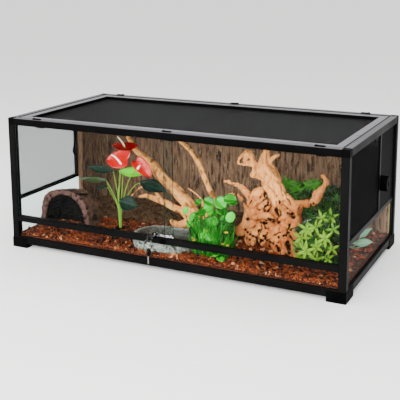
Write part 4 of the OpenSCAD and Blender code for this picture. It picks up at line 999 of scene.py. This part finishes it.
def leafy_plant():
    """A tuft of grass with round leaves standing out of it and small yellow flowers."""
    bm = bmesh.new()
    dice = random.Random(7)
    grass = [blade(0.1, 0.0062, BLADE, (2, 10), 0, 0.3, bend, 0, 0, 0.0004) for bend in (0.03, 0.12, 0.26)]
    for _ in range(560):
        x, y = dice.uniform(-64, 80), dice.uniform(-26, 26)
        tall = dice.uniform(0.7, 1.32) * (1 if -50 < x < 60 else 0.84)
        stamp(dice.choice(grass), turned(mm(x * 0.86 + 2, y * 0.8, 4), dice.uniform(0, 360), 84 + dice.gauss(0, 6),
                                         dice.gauss(0, 30), (tall, dice.uniform(0.8, 1.6), tall)),
              dice.uniform(0, 1), bm, 1)
    round_leaf = blade(0.031, 0.030, ROUND, (10, 10), 0, 0.14, 0.10, 0.01, 4, 0.0006, 0.86)
    # Round leaves where the photo shows them: place, yaw, lift, roll, size, tone
    crowns = [
        (-85, -6, 132, 80, 66, 0, 0.8, 0.9), (-30, 2, 172, 160, 14, -40, 0.85, 0.3),
        (14, 0, 178, 190, 24, -52, 1.1, 0.3), (-16, -4, 158, 20, 30, 46, 1.1, 0.75),
        (-2, -6, 140, 40, 50, 30, 0.85, 0.6), (24, 2, 196, -10, -34, 44, 1.35, 0.7),
        (52, 4, 198, 6, 4, 36, 1.25, 0.4), (62, 8, 190, 10, -8, 30, 1.0, 0.25), (76, -14, 128, 60, 66, 20, 1.15, 1.0),
        (-62, -16, 114, 30, 60, 20, 1.0, 0.55), (-66, -18, 92, 60, 60, 0, 1.0, 0.7),
        (-46, -16, 108, 100, 60, 0, 0.95, 0.4), (6, -20, 108, 60, 50, 20, 1.1, 0.35),
        (26, -20, 112, 120, 60, 0, 1.0, 0.5), (-12, -30, 66, 80, 74, 0, 1.05, 0.8),
        (14, -30, 60, 100, 66, 0, 0.95, 0.45), (50, -52, 30, 285, 10, 0, 1.0, 0.6),
        (62, -56, 22, 310, -6, 0, 0.9, 0.8), (44, -46, 26, 250, 0, 0, 0.8, 0.2), (54, -10, 100, 80, 50, 0, 1.0, 0.35),
        (-36, 10, 124, 100, 50, 0, 1.0, 0.3), (40, 18, 128, 80, 50, 0, 1.0, 0.3), (66, 16, 116, 60, 50, 0, 1.0, 0.3)]
    # and smaller ones between them, each number between two limits
    spread = ((-58, 70), (-14, 14), (96, 168), (0, 360), (10, 60), (-30, 30), (0.6, 0.85), (0.0, 0.6))
    crowns += [tuple(dice.uniform(*limits) for limits in spread) for _ in range(16)]
    for x, y, z, yaw, lift, roll, size, tone in crowns:
        stamp(round_leaf, turned(mm(x, y, z), yaw, lift, roll, (size,) * 3), tone, bm, 0)
        reach = 0.35 if abs(x) < 80 else 0.2
        stalk(bm, [(x * reach, y * reach, 6, 1.5), (x * 0.7, y * 0.6, z * 0.55, 1.2), (x, y, z, 0.9)], 1, 0.4, 6)
    petal = blade(0.0085, 0.007, ROUND, (4, 4), 0, 0.1, 0.3, 0, 0, 0.0004)
    for x, y, z in ((-42, -30, 56), (-36, -32, 46), (-46, -28, 62), (-30, -32, 40), (64, -30, 58), (74, -28, 54),
                    (68, -32, 44), (60, -30, 48), (80, -26, 46), (70, -26, 96), (3, -24, 93)):
        for i in range(5):
            lean = turned(mm(x, y, z), 72 * i + x, 24, 0) @ Matrix.Rotation(0.6, 4, "X")
            stamp(petal, lean, dice.uniform(0.3, 1), bm, 2)
        stalk(bm, [(x * 0.5, y * 0.4, 6, 1.2), (x * 0.9, y * 0.8, z * 0.6, 1.0), (x, y, z, 0.8)], 1, 0.4, 6)
    bm.transform(Matrix.Translation(LEAFY))
    piece("leafy_tuft", bm, [FRESH_LEAF, GRASS_LEAF, YELLOW_PETAL], ["leafy_plant"])


leafy_plant()

FERN_LEAF = leaf_skin("fern leaflet", "#438f18", "#041505", "#74ac34", 0.3, 0.45)
STAR_LEAF = leaf_skin("lanceolate leaflet", "#6e8c1c", "#1e440a", "#9ab43c", 0.42, 0.25)
DARK_LEAF = leaf_skin("shaded leaf", "#2c5c1c", "#051b08", "#427a2c", 0.3, 0.5)
PALE_LEAF = leaf_skin("pale underside of a leaf", "#7fa386", "#4a7256", "#a9c4a8", 0.5, 0.3)


def whorl(shape, tilt, count, low, high, dice, tone, bm, slot, stretch=(0.8, 1.08), size=1.0):
    """Leaflets round one point, lifted between two angles out of the whorl's plane."""
    for i in range(count):
        spin = Matrix.Rotation(math.radians(360 * i / count + dice.uniform(-9, 9)), 4, "Z")
        lift = Matrix.Rotation(math.radians(-dice.uniform(low, high)), 4, "Y")
        long = dice.uniform(*stretch) * size
        stamp(shape, tilt @ spin @ lift @ Matrix.Diagonal((long, size, size, 1)),
              min(1, max(0, tone + dice.uniform(-0.25, 0.25))), bm, slot)


def fern():
    """A fern behind the stump: bright clusters before a dark mass, painted light and painted shade by their tones."""
    bm = bmesh.new()
    dice = random.Random(23)
    leaflet = blade(0.030, 0.011, LANCE, (4, 8), 0, 0.2, 0.22, 0, 0, 0.0005)
    # Bright clusters and the dark mass behind them, painted light and shade by tone: place in millimetres, leaflets,
    # tone
    spots = [(-118, -4, 190, 9, 0.9), (-100, -6, 186, 8, 0.8), (-84, -4, 172, 8, 0.9), (-106, -6, 160, 8, 0.6),
             (-108, -4, 138, 8, 0.75), (-90, -4, 150, 8, 0.5), (-40, -4, 184, 9, 0.85), (-24, -2, 196, 8, 0.8),
             (-8, -2, 192, 8, 0.7), (-74, 0, 158, 8, 0.4)]
    for _ in range(110):
        spots.append((dice.uniform(-118, 64), dice.uniform(-6, 40), dice.uniform(30, 178), 7, dice.uniform(0.0, 0.25)))
    for x, y, z, count, tone in spots:
        lean = turned(mm(x, y, z), dice.uniform(-30, 30), dice.uniform(-20, 20))
        lean @= Matrix.Rotation(math.radians(dice.uniform(15, 65)), 4, "X")
        whorl(leaflet, lean, count, -10, 35, dice, tone, bm, 0, (0.75, 1.15))
    for x, y, z in ((-100, 0, 130), (-60, 6, 140), (-30, 4, 180), (0, 6, 150), (30, 6, 160), (56, 6, 110), (-80, 6, 80),
                    (20, 10, 80)):
        stalk(bm, [(x * 0.1, y * 0.1, 2, 3), (x * 0.6, y * 0.6, z * 0.6, 2.4), (x, y, z, 1.6)], 0, 0.2, 6)
    # Two broad leaves that lean out to the right glass, low down
    broad = blade(0.070, 0.030, LANCE, (6, 12), 0, 0.14, 0.05, 0, 6, 0.0006)
    for at, yaw, lift, roll, size in ((mm(200, -51, 36), 180, -12, -50, 1.0), (mm(157, -51, 45), 0, 46, 50, 0.78)):
        stamp(broad, turned(at, yaw, lift, roll, (size,) * 3), 0.7, bm, 1)
    for points in ([(4, -2, 2, 2), (70, -30, 12, 1.8), (131, -51, 6, 1.6), (168, -51, 18, 1.4), (200, -51, 36, 1.1)],
                   [(70, -30, 12, 1.8), (131, -51, 10, 1.5), (148, -51, 28, 1.3), (157, -51, 45, 1.0)]):
        stalk(bm, points, 1, 0.5, 6)
    bm.transform(Matrix.Translation(FERN))
    piece("fern_fronds", bm, [FERN_LEAF, PALE_LEAF], ["fern_plant"])


fern()


def star_plant():
    """Plants with star-shaped whorls that face the front, and shaded leaves behind them."""
    bm = bmesh.new()
    dice = random.Random(31)
    lance = [blade(0.036, 0.0105, LANCE, (4, 10), 0, 0.2, bend, 0, 0, 0.0005) for bend in (0.04, 0.16)]
    dark = blade(0.042, 0.017, LANCE, (5, 9), 0, 0.12, 0.16, 0, 5, 0.0005)
    # Whorls facing the front: place in millimetres, lean of the whorl to the side, size, leaflets, tone
    for x, y, z, lean, size, count, tone in (
            (-6, -22, 128, -4, 1.0, 6, 0.95), (52, -22, 108, 12, 1.0, 6, 0.95), (-4, -32, 62, -8, 1.05, 6, 0.95),
            (40, -10, 168, 30, 0.9, 5, 0.6), (66, -8, 174, 10, 0.9, 5, 0.5), (74, -8, 136, 24, 0.85, 5, 0.5),
            (30, -26, 40, 8, 0.9, 5, 0.6), (64, -20, 44, 16, 0.9, 5, 0.5), (16, 0, 96, 4, 0.8, 5, 0.4),
            (-30, -16, 36, -16, 0.8, 5, 0.5), (-24, -20, 98, -10, 0.9, 5, 0.6), (20, -20, 140, 0, 0.85, 5, 0.5),
            (26, -24, 76, 6, 0.9, 6, 0.75), (74, -16, 76, 14, 0.9, 5, 0.6), (-34, -14, 66, -12, 0.8, 5, 0.5),
            (10, -20, 24, 0, 0.85, 5, 0.5)):
        tilt = turned(mm(x, y, z), 0, lean, 0)
        tilt @= Matrix.Rotation(math.radians(66), 4, "X") @ Matrix.Rotation(math.radians(90), 4, "Z")
        whorl(dice.choice(lance), tilt, count, 8, 34, dice, tone, bm, 0, (0.82, 1.06), size)
        stalk(bm, [(x * 0.2, y * 0.2, 4, 2.2), (x * 0.7, y * 0.5 + 4, z * 0.6, 1.8), (x, y, z, 1.4)], 0, 0.3, 6)
    for _ in range(240):
        x, z = dice.uniform(-44, 84), dice.uniform(10, 180)
        if x < -10 and z > 150:
            continue
        stamp(dark, turned(mm(x, dice.uniform(-8, 36), z), dice.uniform(0, 360), dice.uniform(-30, 40),
                           dice.uniform(-60, 60), (dice.uniform(0.6, 1.05),) * 3), dice.uniform(0, 0.6), bm, 1)
    for x, y, z in ((-20, 6, 140), (14, 12, 160), (50, 14, 170), (76, 10, 150), (-36, 8, 90), (30, 16, 120),
                    (66, 16, 100), (0, 16, 90)):
        stalk(bm, [(x * 0.2, y * 0.5, 4, 2.4), (x * 0.6, y, z * 0.55, 1.9), (x, y, z, 1.4)], 1, 0.2, 6)
    bm.transform(Matrix.Translation(STAR))
    piece("star_whorls", bm, [STAR_LEAF, DARK_LEAF], ["star_plant"])


star_plant()


# ---------------------------------------------------------------- floor, light and camera


def pale_floor():
    """Seamless studio paper: pale, matt, with hardly any tooth."""
    look = Look("pale studio paper", Roughness=0.85, Specular_IOR_Level=0.15)
    look.colour(look.speckle(400, 2), 0.3, 0.7, "#f1f1f0", "#f7f7f6")
    bm = bmesh.new()
    bmesh.ops.create_grid(bm, x_segments=1, y_segments=1, size=30)
    mesh = meshed("floor", bm)
    mesh.materials.append(look.material)
    placed("floor", mesh)


pale_floor()


def soft_light(name, at, target, size, power):
    """A square soft box at a place, facing a point."""
    lamp = bpy.data.lights.new(name, "AREA")
    lamp.shape, lamp.size, lamp.energy = "SQUARE", size, power
    obj = placed(name, lamp)
    obj.location = at
    obj.rotation_euler = (Vector(target) - Vector(at)).to_track_quat("-Z", "Y").to_euler()


soft_light("key", (0.9, -3.4, 1.5), (0, 0, 0.22), 2.4, 300)
soft_light("fill", (-2.2, -2.8, 1.1), (0, 0, 0.22), 2.2, 115)
soft_light("top", (0, 0.3, 2.6), (0, 0, 0), 2.4, 40)

world = bpy.data.worlds.new("white studio")
bpy.context.scene.world = world
world.use_nodes = True
world.node_tree.nodes["Background"].inputs["Color"].default_value = linear("#ffffff")
world.node_tree.nodes["Background"].inputs["Strength"].default_value = 1.6

lens = bpy.data.cameras.new("photo")
lens.sensor_fit, lens.sensor_width, lens.lens = "HORIZONTAL", 36, 74.58
lens.shift_y = -0.2
camera = placed("photo", lens)
stand = (1.2361, -2.5292, 0.9839)
aim = Matrix.Identity(3)
for degrees, axis in ((26.16, "Z"), (-10.633, "X"), (0.279, "Y")):
    aim @= Matrix.Rotation(math.radians(degrees), 3, axis)
right, forward, up = aim.col
camera.matrix_world = Matrix.Translation(stand) @ Matrix((right, up, -forward)).transposed().to_4x4()
bpy.context.scene.camera = camera
